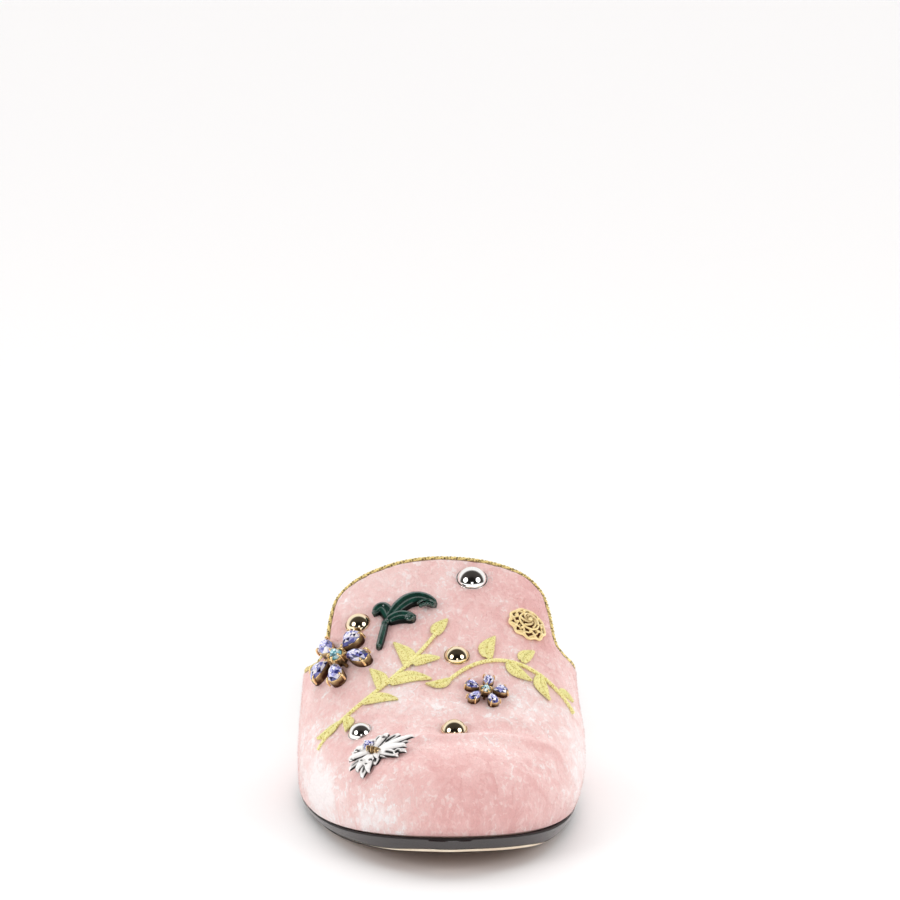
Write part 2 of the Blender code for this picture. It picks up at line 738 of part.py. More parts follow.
def blade_rings(blade):
    """Lens-shaped sections along a bent blade, narrow at both ends."""
    start = Vector((blade.start_u, blade.start_v))
    bend = Vector((blade.bend_u, blade.bend_v))
    end = Vector((blade.end_u, blade.end_v))
    rings = []
    for i in range(BLADE_STATIONS):
        t = i / (BLADE_STATIONS - 1)
        middle = start * (1 - t) ** 2 + bend * 2 * t * (1 - t) + end * t ** 2
        along = ((bend - start) * (1 - t) + (end - bend) * t).normalized()
        across = Vector((-along.y, along.x))
        fullness = blade.blunt + (1 - blade.blunt) * math.sin(math.pi * t) ** BLADE_POWER
        thickness = blade.thickness * (BLADE_THIN + (1 - BLADE_THIN) * fullness)
        half = across * blade.half_width * fullness
        section = ((middle - half, BLADE_EDGE), (middle, 1.0), (middle + half, BLADE_EDGE), (middle, 0.0))
        rings.append([(spot.x * MM, spot.y * MM, thickness * share * MM) for spot, share in section])
    return rings


def make_bladed(name, seat, blades, finish):
    """One solid from blades that run into each other."""
    piece = draped_loft(name, seat, blade_rings(blades[0]), finish)
    for blade in blades[1:]:
        helper = draped_loft(f"{name}_{blade.name}", seat, blade_rings(blade), finish)
        add_boolean(piece, helper, "UNION")
    return piece


def make_sprig(finish):
    return make_bladed("leaf_sprig", seat_on_vamp(SPRIG_X * MM, SPRIG_BACK * MM), SPRIG_BLADES, finish)


def make_brooch(finish, stone):
    seat = seat_on_vamp(BROOCH_X * MM, BROOCH_BACK * MM)
    blades = [BROOCH_BODY]
    for wing in BROOCH_WINGS:
        angle = math.radians(wing.angle)
        end_u, end_v = wing.length * math.cos(angle), wing.length * math.sin(angle)
        blades.append(BladeRow(wing.name, 0.0, 0.0, end_u / 2, end_v / 2, end_u, end_v,
                               wing.half_width, WING_BLUNT, WING_THICKNESS))
    make_bladed("winged_brooch", seat, blades, finish)
    head = Vector((BROOCH_STONE_U, BROOCH_STONE_V)) * MM
    make_round_stone("winged_brooch_stone", seat, head, BROOCH_STONE, 0.0, BROOCH_STONE_RISE, stone)


velvet = material("velvet_pale_pink", (0.80, 0.50, 0.49), 0.9, 0.0)
gold_cord = material("gold_cord", (0.72, 0.50, 0.20), 0.45, 0.8)
sole_leather = material("sole_leather", (0.035, 0.032, 0.033), 0.4, 0.0)
heel_leather = material("heel_leather", (0.03, 0.028, 0.028), 0.45, 0.0)
insole_leather = material("insole_leather", (0.72, 0.55, 0.48), 0.6, 0.0)
gold_metal = material("gold_metal", (0.78, 0.55, 0.28), 0.15, 1.0)
silver_metal = material("silver_metal", (0.86, 0.85, 0.83), 0.12, 1.0)
violet_stone = material("violet_stone", (0.55, 0.55, 0.85), 0.03, 0.0)
blue_stone = material("blue_stone", (0.30, 0.62, 0.72), 0.03, 0.0)
green_enamel = material("green_enamel", (0.004, 0.05, 0.032), 0.2, 0.0)

make_outsole(sole_leather)
make_heel(heel_leather)
make_insole(insole_leather)
make_upper(velvet)
make_piping(gold_cord)

metals = {"gold": gold_metal, "silver": silver_metal}
for stud in STUDS:
    make_stud(stud, metals[stud.metal])
for flower in FLOWERS:
    make_flower(flower, gold_metal, violet_stone, blue_stone)
make_rosette(gold_metal)
make_sprig(green_enamel)
make_brooch(silver_metal, violet_stone)
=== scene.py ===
import math

import bmesh
import bpy
import numpy as np
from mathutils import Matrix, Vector, noise


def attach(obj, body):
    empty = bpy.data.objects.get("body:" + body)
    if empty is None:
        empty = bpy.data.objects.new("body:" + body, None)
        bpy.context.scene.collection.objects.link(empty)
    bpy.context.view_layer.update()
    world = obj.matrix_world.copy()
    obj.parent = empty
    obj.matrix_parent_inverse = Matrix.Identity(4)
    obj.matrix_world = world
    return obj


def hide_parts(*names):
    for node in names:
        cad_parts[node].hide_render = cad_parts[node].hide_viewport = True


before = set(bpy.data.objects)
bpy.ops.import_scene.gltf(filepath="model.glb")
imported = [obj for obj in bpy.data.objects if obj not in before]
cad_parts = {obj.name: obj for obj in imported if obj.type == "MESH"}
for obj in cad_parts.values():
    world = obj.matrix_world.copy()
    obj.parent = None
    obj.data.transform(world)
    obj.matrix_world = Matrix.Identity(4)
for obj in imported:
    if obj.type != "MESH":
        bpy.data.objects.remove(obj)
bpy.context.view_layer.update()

mm = 0.001
chance = np.random.default_rng(11)
print("frame loaded,", len(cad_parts), "CAD nodes")

# Sizes of the shoe in mm, as in the part's source
# x is measured from the middle line, back from the toe tip and z from the floor
shoe = {
    "length": 250.0, "middleX": -0.25, "toeTipX": 2.0, "wall": 2.0, "gap": 0.3,
    "soleThickness": 4.0, "toeSpring": 7.0, "flatFront": 64.0, "flatBack": 102.0,
    "heelHeight": 11.0, "heelBreast": 190.0, "heelReach": 30.0, "heelPower": 2.2,
    "toeRise": 24.0, "toeRisePower": 2.3, "pole": 46.0, "tuckPower": 7, "aroundPower": 1.5,
    "insoleThickness": 2.4, "cordRadius": 1.15,
}
shoeOrigin = np.array((shoe["middleX"], shoe["length"] / 2, 0))  # the frame's origin in these sizes
planTable = {
    "back": (0, 46, 70, 90, 110, 135, 160, 190, 250),
    "lateral": (43.0, 43.4, 44.0, 43.4, 40.0, 34.8, 30.6, 28.6, 28.8),
    "medial": (41.0, 41.4, 41.8, 41.2, 38.4, 32.8, 28.8, 28.2, 28.6),
    "lateralSwell": (0.8, 1.8, 0.9, 0.9, 3.4, 4.6, 2.6, 1.0, 1.0),
    "medialSwell": (0.8, 3.6, 3.7, 2.9, 4.8, 5.4, 3.4, 1.0, 1.0),
}
crownTable = {
    "back": (0, 24, 36, 50, 80, 100, 117, 135, 170),
    "height": (30.4, 31.2, 32.4, 36.4, 50.6, 61.4, 70.4, 78.0, 84.0),
    "fullness": (2.5, 2.55, 2.6, 2.65, 3.0, 3.6, 3.5, 3.5, 3.5),
}
toplineTable = {
    "around": (0, 0.10, 0.20, 0.28, 0.36, 0.43, 0.50, 0.57, 0.62, 0.66, 0.69, 0.73, 0.80, 0.90, 1.0),
    "lateral": (156, 137, 117, 106, 97.5, 92, 88, 85.5, 85.5, 88.5, 95.5, 103, 105.5, 108, 111.5),
    "medial": (156, 137, 117, 106, 98.5, 94, 90.5, 88.5, 88.2, 90.5, 96.5, 105, 108, 109.5, 111.5),
}
lateral = {"sign": -1, "width": "lateral", "swell": "lateralSwell", "toeReach": 84.0, "toePower": 2.0}
medial = {"sign": 1, "width": "medial", "swell": "medialSwell", "toeReach": 70.0, "toePower": 2.1}


# Form of the last
def tableValue(table, column, at):
    places = np.array(next(iter(table.values())), float)
    values = np.array(table[column], float)
    at = np.clip(np.asarray(at, float), places[0], places[-1])
    slopes = np.diff(values) / np.diff(places)
    product = slopes[:-1] * slopes[1:]
    total = slopes[:-1] + slopes[1:]
    tangents = np.concatenate((slopes[:1], np.zeros(len(product)), slopes[-1:]))
    rising = product > 0
    tangents[1:-1][rising] = 2 * product[rising] / total[rising]
    i = np.clip(np.searchsorted(places, at, side="right") - 1, 0, len(places) - 2)
    span = places[i + 1] - places[i]
    t = (at - places[i]) / span
    return ((2 * t ** 3 - 3 * t ** 2 + 1) * values[i] + (t ** 3 - 2 * t ** 2 + t) * span * tangents[i]
            + (3 * t ** 2 - 2 * t ** 3) * values[i + 1] + (t ** 3 - t ** 2) * span * tangents[i + 1])


def rounding(distance, reach, power):
    left = np.clip(1 - distance / reach, 0, 1)
    return (1 - left ** power) ** (1 / power)


def blendStep(at, start, end):
    t = np.clip((at - start) / (end - start), 0, 1)
    return t * t * (3 - 2 * t)


def planEdge(side, back, swelled):
    toe = rounding(back, side["toeReach"], side["toePower"])
    heel = rounding(shoe["length"] - back, shoe["heelReach"], shoe["heelPower"])
    width = tableValue(planTable, side["width"], back)
    if swelled:
        width = width + tableValue(planTable, side["swell"], back)
    return side["sign"] * width * toe * heel + shoe["toeTipX"] * (1 - toe)


def crownX(back):
    return (planEdge(lateral, back, True) + planEdge(medial, back, True)) / 2


def soleBottom(back):
    spring = shoe["toeSpring"] * np.clip(1 - np.maximum(back, 0) / shoe["flatFront"], 0, 1) ** 2
    return spring + shoe["heelHeight"] * blendStep(back, shoe["flatBack"], shoe["heelBreast"])


def soleTop(back):
    return soleBottom(back) + shoe["soleThickness"]


def featherHeight(back):
    return soleTop(back) + shoe["gap"]


def upperHeight(x, back):
    base = featherHeight(back)
    fullness = tableValue(crownTable, "fullness", back)
    middle = crownX(back)
    edge = np.where(x < middle, planEdge(lateral, back, True), planEdge(medial, back, True))
    across = np.clip(np.abs(x - middle) / np.maximum(np.abs(edge - middle), 1e-6), 0, 1)
    rise = rounding(back, shoe["toeRise"], shoe["toeRisePower"])
    crown = tableValue(crownTable, "height", back)
    return base + (crown - base) * rise * (1 - across ** fullness) ** (1 / fullness)


def levelAngle(around):
    return math.pi / 2 * around ** shoe["aroundPower"]


def sidePoint(side, around, share):
    back = shoe["pole"] + (tableValue(toplineTable, side["width"], around) - shoe["pole"]) * share
    angle = levelAngle(around)
    fullness = tableValue(crownTable, "fullness", back)
    middle = crownX(back)
    across = np.clip(np.cos(angle), 0, 1) ** (2 / fullness)
    tuck = tableValue(planTable, side["swell"], back) * (1 - np.sin(angle)) ** shoe["tuckPower"]
    x = middle + (planEdge(side, back, True) - middle) * across - side["sign"] * tuck
    base = featherHeight(back)
    z = base + (tableValue(crownTable, "height", back) - base) * np.sin(angle) ** (2 / fullness)
    return np.stack(np.broadcast_arrays(x, back, z), -1)


def toePoint(side, around, turn):
    edgeBack = shoe["pole"] * (1 - np.cos(turn))
    poleX = crownX(shoe["pole"])
    spanX, spanBack = planEdge(side, edgeBack, True) - poleX, edgeBack - shoe["pole"]
    angle = levelAngle(around)
    reach = np.clip(np.cos(angle), 0, 1) ** (2 / tableValue(crownTable, "fullness", edgeBack))
    x, back = poleX + spanX * reach, shoe["pole"] + spanBack * reach
    z = np.where(around > 0, upperHeight(x, back), featherHeight(edgeBack))
    swell = tableValue(planTable, side["swell"], edgeBack)
    tuck = swell * (1 - np.sin(angle)) ** shoe["tuckPower"] / np.hypot(spanX, spanBack)
    return np.stack(np.broadcast_arrays(x - spanX * tuck, back - spanBack * tuck, z), -1)


def upperRibs(toeRibs, sideRibs, levels):
    around = np.linspace(0, 1, levels + 1)[None, :]
    halves = []
    for side in (lateral, medial):
        turns = np.linspace(0, math.pi / 2, toeRibs + 1)[1:, None]
        shares = np.linspace(0, 1, sideRibs + 1)[1:, None]
        halves.append(np.concatenate((toePoint(side, around, turns), sidePoint(side, around, shares))))
    tip = toePoint(medial, around, np.zeros((1, 1)))
    return np.concatenate((halves[0][::-1], tip, halves[1]))


def unit(vectors):
    return vectors / np.maximum(np.linalg.norm(vectors, axis=-1, keepdims=True), 1e-9)


def upperNormal(x, back):
    step = 0.2
    across = (upperHeight(x + step, back) - upperHeight(x - step, back)) / (2 * step)
    along = (upperHeight(x, back + step) - upperHeight(x, back - step)) / (2 * step)
    return unit(np.stack(np.broadcast_arrays(-across, -along, 1.0), -1))


def seatOnVamp(x, back):
    out = upperNormal(x, back)
    up = unit(np.array((0.0, 1.0, 0.0)) - out * out[1])
    origin = np.array((x, back, float(upperHeight(x, back))))
    return {"origin": origin, "right": np.cross(up, out), "up": up, "out": out}


def overUpper(place):
    return place[..., 2] - upperHeight(place[..., 0], place[..., 1])


# Points at a height over the velvet, to the right (u) and up (v) of a seat
def drape(seat, u, v, height):
    u, v, height = np.broadcast_arrays(np.asarray(u, float), v, height)
    start = seat["origin"] + seat["right"] * u[..., None] + seat["up"] * v[..., None]
    depth, step = np.zeros(u.shape), 0.05
    for turn in range(6):
        over = overUpper(start - seat["out"] * depth[..., None])
        deeper = overUpper(start - seat["out"] * (depth + step)[..., None])
        depth = depth + over * step / (over - deeper)
    return start + seat["out"] * (shoe["gap"] + height - depth)[..., None]


def bezier(start, bend, end, count):
    t = np.linspace(0, 1, count)[:, None]
    start, bend, end = (np.array(spot, float) for spot in (start, bend, end))
    return start * (1 - t) ** 2 + 2 * bend * t * (1 - t) + end * t ** 2


def resample(path, step):
    travel = np.concatenate(([0], np.cumsum(np.linalg.norm(np.diff(path, axis=0), axis=1))))
    places = np.linspace(0, travel[-1], max(2, int(travel[-1] / step)))
    return np.stack([np.interp(places, travel, path[:, axis]) for axis in range(path.shape[1])], -1)


# Meshes from arrays of points in shoe mm
def newBuild():
    return {"verts": [], "faces": [], "slots": [], "facets": [], "values": {}, "count": 0}


def addPoints(build, points, values):
    start = build["count"]
    build["verts"].append(points.reshape(-1, 3))
    build["count"] += points.size // 3
    for name, value in values.items():
        spread = np.broadcast_to(value, points.shape[:-1]).reshape(-1)
        build["values"].setdefault(name, []).append((start, spread))
    return start


def addFaces(build, faces, slot, facet=0.0):
    build["faces"] += faces.tolist()
    build["slots"] += [slot] * len(faces)
    build["facets"] += np.broadcast_to(facet, len(faces)).tolist()


def addGrid(build, points, closeU=False, closeV=False, slot=0, **values):
    start = addPoints(build, points, values)
    countU, countV = points.shape[:2]
    u, v = np.meshgrid(np.arange(countU - (not closeU)), np.arange(countV - (not closeV)), indexing="ij")
    nextU, nextV = (u + 1) % countU, (v + 1) % countV
    corners = (u * countV + v, nextU * countV + v, nextU * countV + nextV, u * countV + nextV)
    addFaces(build, start + np.stack(corners, -1).reshape(-1, 4), slot)


def addFan(build, ring, middle, slot=0, **values):
    points = np.concatenate((ring, [middle]))
    start = addPoints(build, points, values)
    i = np.arange(len(ring))
    addFaces(build, start + np.stack((i, (i + 1) % len(ring), np.full(len(ring), len(ring))), -1), slot)


# Round strands along paths of shape (strands, points, 3), with their ends drawn to a point
def addTubes(build, paths, radius, sides=6, closed=False, guide=(0, 0, 1), slot=0, **values):
    radius = np.broadcast_to(np.asarray(radius, float), paths.shape[:2])
    values = {name: np.broadcast_to(value, paths.shape[:2]) for name, value in values.items()}
    if not closed:
        tips = np.zeros((len(paths), 1))
        radius = np.concatenate((tips, radius, tips), 1)
        paths = np.concatenate((paths[:, :1], paths, paths[:, -1:]), 1)
        values = {name: np.concatenate((v[:, :1], v, v[:, -1:]), 1) for name, v in values.items()}
        ahead = np.concatenate((paths[:, 2:3] - paths[:, 1:2],) * 2 + (paths[:, 3:] - paths[:, 1:-2],), 1)
        ahead = np.concatenate((ahead, ahead[:, -1:]), 1)
    else:
        ahead = np.roll(paths, -1, 1) - np.roll(paths, 1, 1)
    ahead = unit(ahead)
    guide = np.broadcast_to(np.asarray(guide, float), paths.shape)
    first = unit(guide - ahead * (guide * ahead).sum(-1, keepdims=True))
    second = np.cross(ahead, first)
    turn = np.linspace(0, 2 * math.pi, sides, endpoint=False)
    rings = paths[:, :, None] + radius[..., None, None] * (
        first[:, :, None] * np.cos(turn)[:, None] + second[:, :, None] * np.sin(turn)[:, None])
    start = addPoints(build, rings, {name: v[..., None] for name, v in values.items()})
    count = paths.shape[1]
    strand, along, around = np.meshgrid(np.arange(len(paths)), np.arange(count - (not closed)),
                                        np.arange(sides), indexing="ij")
    onward, beside = (along + 1) % count, (around + 1) % sides
    corners = [(strand * count + row) * sides + side
               for row, side in ((along, around), (onward, around), (onward, beside), (along, beside))]
    addFaces(build, start + np.stack(corners, -1).reshape(-1, 4), slot)


def addBead(build, middle, radius, out, slot=0, rows=6, sides=10, **values):
    out = unit(np.asarray(out, float))
    right = unit(np.cross(out, (0.3, 0.9, 0.1)))
    up = np.cross(out, right)
    tilt = np.linspace(0, math.pi, rows + 1)[:, None, None]
    turn = np.linspace(0, 2 * math.pi, sides, endpoint=False)[None, :, None]
    ball = out * np.cos(tilt) + (right * np.cos(turn) + up * np.sin(turn)) * np.sin(tilt)
    addGrid(build, middle + radius * ball, closeV=True, slot=slot, **values)


def finishMesh(build, name, finishes, nodes=(), smooth=True, sharp=None):
    points = np.concatenate(build["verts"]) - shoeOrigin
    mesh = bpy.data.meshes.new(name)
    mesh.from_pydata((points * mm).tolist(), [], build["faces"])
    for label, spans in build["values"].items():
        values = np.zeros(len(points), np.float32)
        for start, spread in spans:
            values[start:start + len(spread)] = spread
        mesh.attributes.new(label, "FLOAT", "POINT").data.foreach_set("value", values)
    mesh.polygons.foreach_set("material_index", build["slots"])
    if any(build["facets"]):
        mesh.attributes.new("facet", "FLOAT", "FACE").data.foreach_set("value", build["facets"])
    bm = bmesh.new()
    bm.from_mesh(mesh)
    bmesh.ops.remove_doubles(bm, verts=bm.verts, dist=0.002 * mm)
    bmesh.ops.recalc_face_normals(bm, faces=bm.faces)
    bm.to_mesh(mesh)
    bm.free()
    for finish in finishes:
        mesh.materials.append(finish)
    if smooth:
        mesh.shade_smooth()
    else:
        mesh.shade_flat()
    if sharp:
        mesh.set_sharp_from_angle(angle=math.radians(sharp))
    piece = bpy.data.objects.new(name, mesh)
    bpy.context.collection.objects.link(piece)
    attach(piece, "root")
    if nodes:
        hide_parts(*nodes)
    print(name, "made,", len(mesh.polygons), "faces")
    return piece


# Shader helpers
def addNode(tree, kind, sockets=None, **settings):
    made = tree.nodes.new("ShaderNode" + kind)
    for key, value in settings.items():
        setattr(made, key, value)
    for key, value in (sockets or {}).items():
        if hasattr(value, "is_output"):
            tree.links.new(value, made.inputs[key])
        else:
            made.inputs[key].default_value = value
    return made


def calc(tree, operation, first, second=0.0, clamp=False):
    return addNode(tree, "Math", {0: first, 1: second}, operation=operation, use_clamp=clamp).outputs[0]


def mixColour(tree, factor, first, second, blend="MIX"):
    made = addNode(tree, "Mix", {0: factor, 6: first, 7: second}, data_type="RGBA", blend_type=blend)
    return made.outputs[2]


def ramp(tree, value, stops):
    made = addNode(tree, "ValToRGB", {"Fac": value})
    stop = made.color_ramp.elements
    while len(stop) < len(stops):
        stop.new(0.5)
    for element, (place, colour) in zip(stop, stops):
        element.position = place
        element.color = (*colour, 1) if isinstance(colour, tuple) else (colour, colour, colour, 1)
    return made.outputs["Color"]


def shaped(tree, scale, sockets):
    place = addNode(tree, "TexCoord").outputs["Object"]
    mapped = addNode(tree, "Mapping", {"Vector": place, "Scale": scale})
    return addNode(tree, "TexNoise", dict(sockets, Vector=mapped.outputs[0])).outputs["Fac"]


def attribute(tree, name):
    return addNode(tree, "Attribute", attribute_name=name).outputs["Fac"]


def newGroup(name, inputs, outputs):
    group = bpy.data.node_groups.new(name, "ShaderNodeTree")
    for label, kind, value in inputs:
        socket = group.interface.new_socket(name=label, in_out="INPUT", socket_type="NodeSocket" + kind)
        socket.default_value = value
    for label, kind in outputs:
        group.interface.new_socket(name=label, in_out="OUTPUT", socket_type="NodeSocket" + kind)
    return group, group.nodes.new("NodeGroupInput").outputs, group.nodes.new("NodeGroupOutput").inputs


def sendOut(group, out, values):
    for label, value in values.items():
        group.links.new(value, out[label])


def useGroup(tree, group, sockets):
    return addNode(tree, "Group", sockets, node_tree=group).outputs


def newFinish(name, sockets):
    finish = bpy.data.materials.new(name)
    finish.use_nodes = True
    tree = finish.node_tree
    shader = tree.nodes["Principled BSDF"]
    for key, value in sockets.items():
        shader.inputs[key].default_value = value
    return finish, tree, shader


# Links colour and roughness, and stacks bumps given as height, strength and depth in mm
def wire(tree, shader, outputs, bumps):
    for key in ("Base Color", "Roughness"):
        if key in outputs:
            tree.links.new(outputs[key], shader.inputs[key])
    normal = None
    for height, strength, depth in bumps:
        sockets = {"Height": height, "Strength": strength, "Distance": depth * mm}
        if normal:
            sockets["Normal"] = normal
        normal = addNode(tree, "Bump", sockets).outputs[0]
    if normal:
        tree.links.new(normal, shader.inputs["Normal"])


# Crushed pile: soft patches, short brushed streaks, small bright flecks as painted glints, and fine fuzz
def makePileGroup():
    group, given, out = newGroup(
        "crushedPile", [("Patch", "Float", 90.0), ("Streak", "Float", 420.0), ("Fleck", "Float", 620.0)],
        [("Lean", "Float"), ("Streaks", "Float"), ("GlintFlecks", "Float"), ("Fuzz", "Float")])
    patch = shaped(group, (1.0, 0.8, 0.8), {"Scale": given["Patch"], "Detail": 2.0, "Distortion": 0.6})
    streak = shaped(group, (1.0, 0.65, 0.65), {"Scale": given["Streak"], "Detail": 2.0, "Roughness": 0.55,
                                              "Distortion": 1.2})
    fleck = shaped(group, (1.0, 0.7, 0.7), {"Scale": given["Fleck"], "Detail": 1.5, "Distortion": 0.7})
    # Painted glints: bright flecks, stronger in the paler patches
    paintedGlints = calc(group, "MULTIPLY", ramp(group, fleck, ((0.55, 0.0), (0.62, 1.0))),
                 ramp(group, patch, ((0.36, 0.3), (0.60, 1.0))))
    sendOut(group, out, {
        "Lean": patch, "Streaks": ramp(group, streak, ((0.40, 0.25), (0.60, 0.75))), "GlintFlecks": paintedGlints,
        "Fuzz": shaped(group, (1.0, 0.6, 0.6), {"Scale": 2600.0, "Detail": 2.0})})
    return group


# Leather: pores, slow changes of tone, and scuffs that dull it
def makeLeatherGroup():
    group, given, out = newGroup(
        "leatherGrain",
        [("Colour", "Color", (0.5, 0.4, 0.3, 1)), ("Shade", "Color", (0.2, 0.1, 0.1, 1)),
         ("Pores", "Float", 900.0), ("Scuff", "Float", 0.3), ("Gloss", "Float", 0.4)],
        [("Base Color", "Color"), ("Roughness", "Float"), ("Height", "Float")])
    cloud = shaped(group, (1, 1, 1), {"Scale": 60.0, "Detail": 4.0})
    scratch = shaped(group, (1, 0.15, 1), {"Scale": 500.0, "Detail": 3.0, "Roughness": 0.7})
    place = addNode(group, "TexCoord").outputs["Object"]
    pores = addNode(group, "TexVoronoi", {"Vector": place, "Scale": given["Pores"]}).outputs["Distance"]
    tone = mixColour(group, ramp(group, cloud, ((0.35, 0.0), (0.7, 1.0))), given["Colour"], given["Shade"])
    worn = calc(group, "MULTIPLY", ramp(group, scratch, ((0.55, 0.0), (0.75, 1.0))), given["Scuff"])
    sendOut(group, out, {
        "Base Color": mixColour(group, worn, tone, given["Colour"]),
        "Roughness": calc(group, "ADD", given["Gloss"], calc(group, "MULTIPLY", worn, 0.5)),
        "Height": calc(group, "SUBTRACT", pores, calc(group, "MULTIPLY", scratch, 0.4))})
    return group


# Plated metal: darkened where the mesh marks a cavity, faint clouding and fine handling marks
# The darkening is painted shade in hollows and at feet, and a random tone on the rosette's wires and grains
def makePlateGroup():
    group, given, out = newGroup(
        "platedMetal",
        [("Colour", "Color", (0.8, 0.6, 0.3, 1)), ("Hollow", "Color", (0.1, 0.06, 0.03, 1)),
         ("Cavity", "Float", 0.0), ("Gloss", "Float", 0.12)],
        [("Base Color", "Color"), ("Roughness", "Float"), ("Height", "Float")])
    cloud = shaped(group, (1, 1, 1), {"Scale": 380.0, "Detail": 4.0, "Roughness": 0.6})
    marks = shaped(group, (1, 0.2, 1), {"Scale": 2400.0, "Detail": 2.0})
    deep = calc(group, "MULTIPLY", given["Cavity"], calc(group, "ADD", cloud, 0.55), clamp=True)
    rough = calc(group, "ADD", given["Gloss"], calc(group, "MULTIPLY", cloud, 0.10))
    sendOut(group, out, {
        "Base Color": mixColour(group, deep, given["Colour"], given["Hollow"]),
        "Roughness": calc(group, "ADD", rough, calc(group, "MULTIPLY", deep, 0.3)),
        "Height": calc(group, "ADD", marks, cloud)})
    return group


# Wrapped metal thread: fine turns of foil along a strand, with glints, and painted shade in the gaps between
# turns
def makeThreadGroup():
    group, given, out = newGroup(
        "metalThread",
        [("Colour", "Color", (0.9, 0.75, 0.4, 1)), ("Gap", "Color", (0.2, 0.11, 0.04, 1)),
         ("Turn", "Float", 0.0), ("Strand", "Float", 0.5), ("Depth", "Float", 0.12)],
        [("Base Color", "Color"), ("Roughness", "Float"), ("Height", "Float")])
    wave = calc(group, "SINE", calc(group, "MULTIPLY", given["Turn"], 2 * math.pi))
    grit = shaped(group, (1, 1, 1), {"Scale": 1900.0, "Detail": 2.0, "Roughness": 0.7})
    # Painted shade in the gaps between turns, a darker tone on some strands, and dark grit
    dark = calc(group, "MULTIPLY", wave, given["Depth"])
    dark = calc(group, "ADD", dark, calc(group, "MULTIPLY", given["Strand"], 0.2))
    dark = calc(group, "ADD", dark, ramp(group, grit, ((0.55, 0.0), (0.62, 0.95))), clamp=True)
    sendOut(group, out, {
        "Base Color": mixColour(group, dark, given["Colour"], given["Gap"]),
        "Roughness": calc(group, "ADD", 0.28, calc(group, "MULTIPLY", grit, 0.25)),
        "Height": calc(group, "SUBTRACT", wave, grit)})
    return group


pileGroup, leatherGroup = makePileGroup(), makeLeatherGroup()
plateGroup, threadGroup = makePlateGroup(), makeThreadGroup()

velvetLook = {
    "sheen": 0.6, "sheenRoughness": 0.45, "sheenTint": (1.0, 0.94, 0.93, 1),
    "scales": {"Patch": 95.0, "Streak": 270.0, "Fleck": 760.0},
    # Colours by tone, from the deep to the brushed nap; the palest end serves painted light
    "colours": ((0.38, (0.74, 0.425, 0.41)), (0.48, (0.80, 0.52, 0.50)), (0.60, (0.84, 0.63, 0.605)),
                (0.76, (0.90, 0.85, 0.845))),
    # Tone at rest, and how far each effect moves it; pale is painted light and shade, flecks painted glints
    "rest": 0.48, "patches": 0.30, "streaks": 0.15, "glintFlecks": 0.13, "pale": 0.27,
    # Strength and depth of each bump
    "bumps": (("Lean", 0.4, 1.0), ("Streaks", 0.5, 0.5), ("GlintFlecks", 0.3, 0.2), ("Fuzz", 0.3, 0.12)),
}


def makeVelvet():
    look = velvetLook
    finish, tree, shader = newFinish("crushedVelvet", {
        "Roughness": 0.9, "Specular IOR Level": 0.15, "Sheen Weight": look["sheen"],
        "Sheen Roughness": look["sheenRoughness"], "Sheen Tint": look["sheenTint"]})
    pile = useGroup(tree, pileGroup, look["scales"])
    effects = ((pile["Lean"], 0.5, "patches"), (pile["Streaks"], 0.5, "streaks"),
               (pile["GlintFlecks"], 0.0, "glintFlecks"), (attribute(tree, "pale"), 0.0, "pale"))
    tone = look["rest"]
    for value, middle, label in effects:
        moved = calc(tree, "MULTIPLY", calc(tree, "SUBTRACT", value, middle), look[label])
        tone = calc(tree, "ADD", tone, moved)
    fuzz = ramp(tree, pile["Fuzz"], ((0.35, 0.93), (0.62, 1.0)))
    colour = mixColour(tree, 1.0, ramp(tree, tone, look["colours"]), fuzz, "MULTIPLY")
    wire(tree, shader, {"Base Color": colour},
         [(pile[label], strength, depth) for label, strength, depth in look["bumps"]])
    return finish


# A finish whose colour, roughness and bump come from a shared group and from marks on the mesh
def makeSurface(name, group, given, marks, sockets, bump):
    finish, tree, shader = newFinish(name, sockets)
    inputs = {label: attribute(tree, label.lower()) for label in marks}
    for label, value in given.items():
        inputs[label] = (*value, 1) if isinstance(value, tuple) else value
    out = useGroup(tree, group, inputs)
    wire(tree, shader, out, [(out["Height"], *bump)])
    return finish


def makeLeather(name, colour, shade, pores=900.0, scuff=0.3, gloss=0.4, coat=0.0, shine=0.5, coatIndex=1.5):
    given = {"Colour": colour, "Shade": shade, "Pores": pores, "Scuff": scuff, "Gloss": gloss}
    sockets = {"Coat Weight": coat, "Coat Roughness": 0.12, "Coat IOR": coatIndex,
               "Specular IOR Level": shine}
    return makeSurface(name, leatherGroup, given, (), sockets, (0.35, 0.1))


def makePlate(name, colour, hollow, gloss, metallic=1.0):
    given = {"Colour": colour, "Hollow": hollow, "Gloss": gloss}
    return makeSurface(name, plateGroup, given, ("Cavity",), {"Metallic": metallic}, (0.12, 0.03))


def makeThread(name, colour, gap, metallic, depth):
    given = {"Colour": colour, "Gap": gap, "Depth": depth}
    return makeSurface(name, threadGroup, given, ("Turn", "Strand"), {"Metallic": metallic}, (0.5, 0.08))


# Foil-backed cut glass with painted reflections: each facet is given its own tone, from dark to white
def makeStone(name, tones):
    finish, tree, shader = newFinish(name, {"Roughness": 0.12, "Metallic": 0.1, "Coat Weight": 1.0,
                                            "Coat Roughness": 0.03})
    cloud = shaped(tree, (1, 1, 1), {"Scale": 700.0, "Detail": 1.0})
    change = calc(tree, "MULTIPLY", calc(tree, "SUBTRACT", cloud, 0.5), 0.2)
    tone = calc(tree, "ADD", attribute(tree, "facet"), change)
    wire(tree, shader, {"Base Color": ramp(tree, tone, tones)}, [])
    return finish


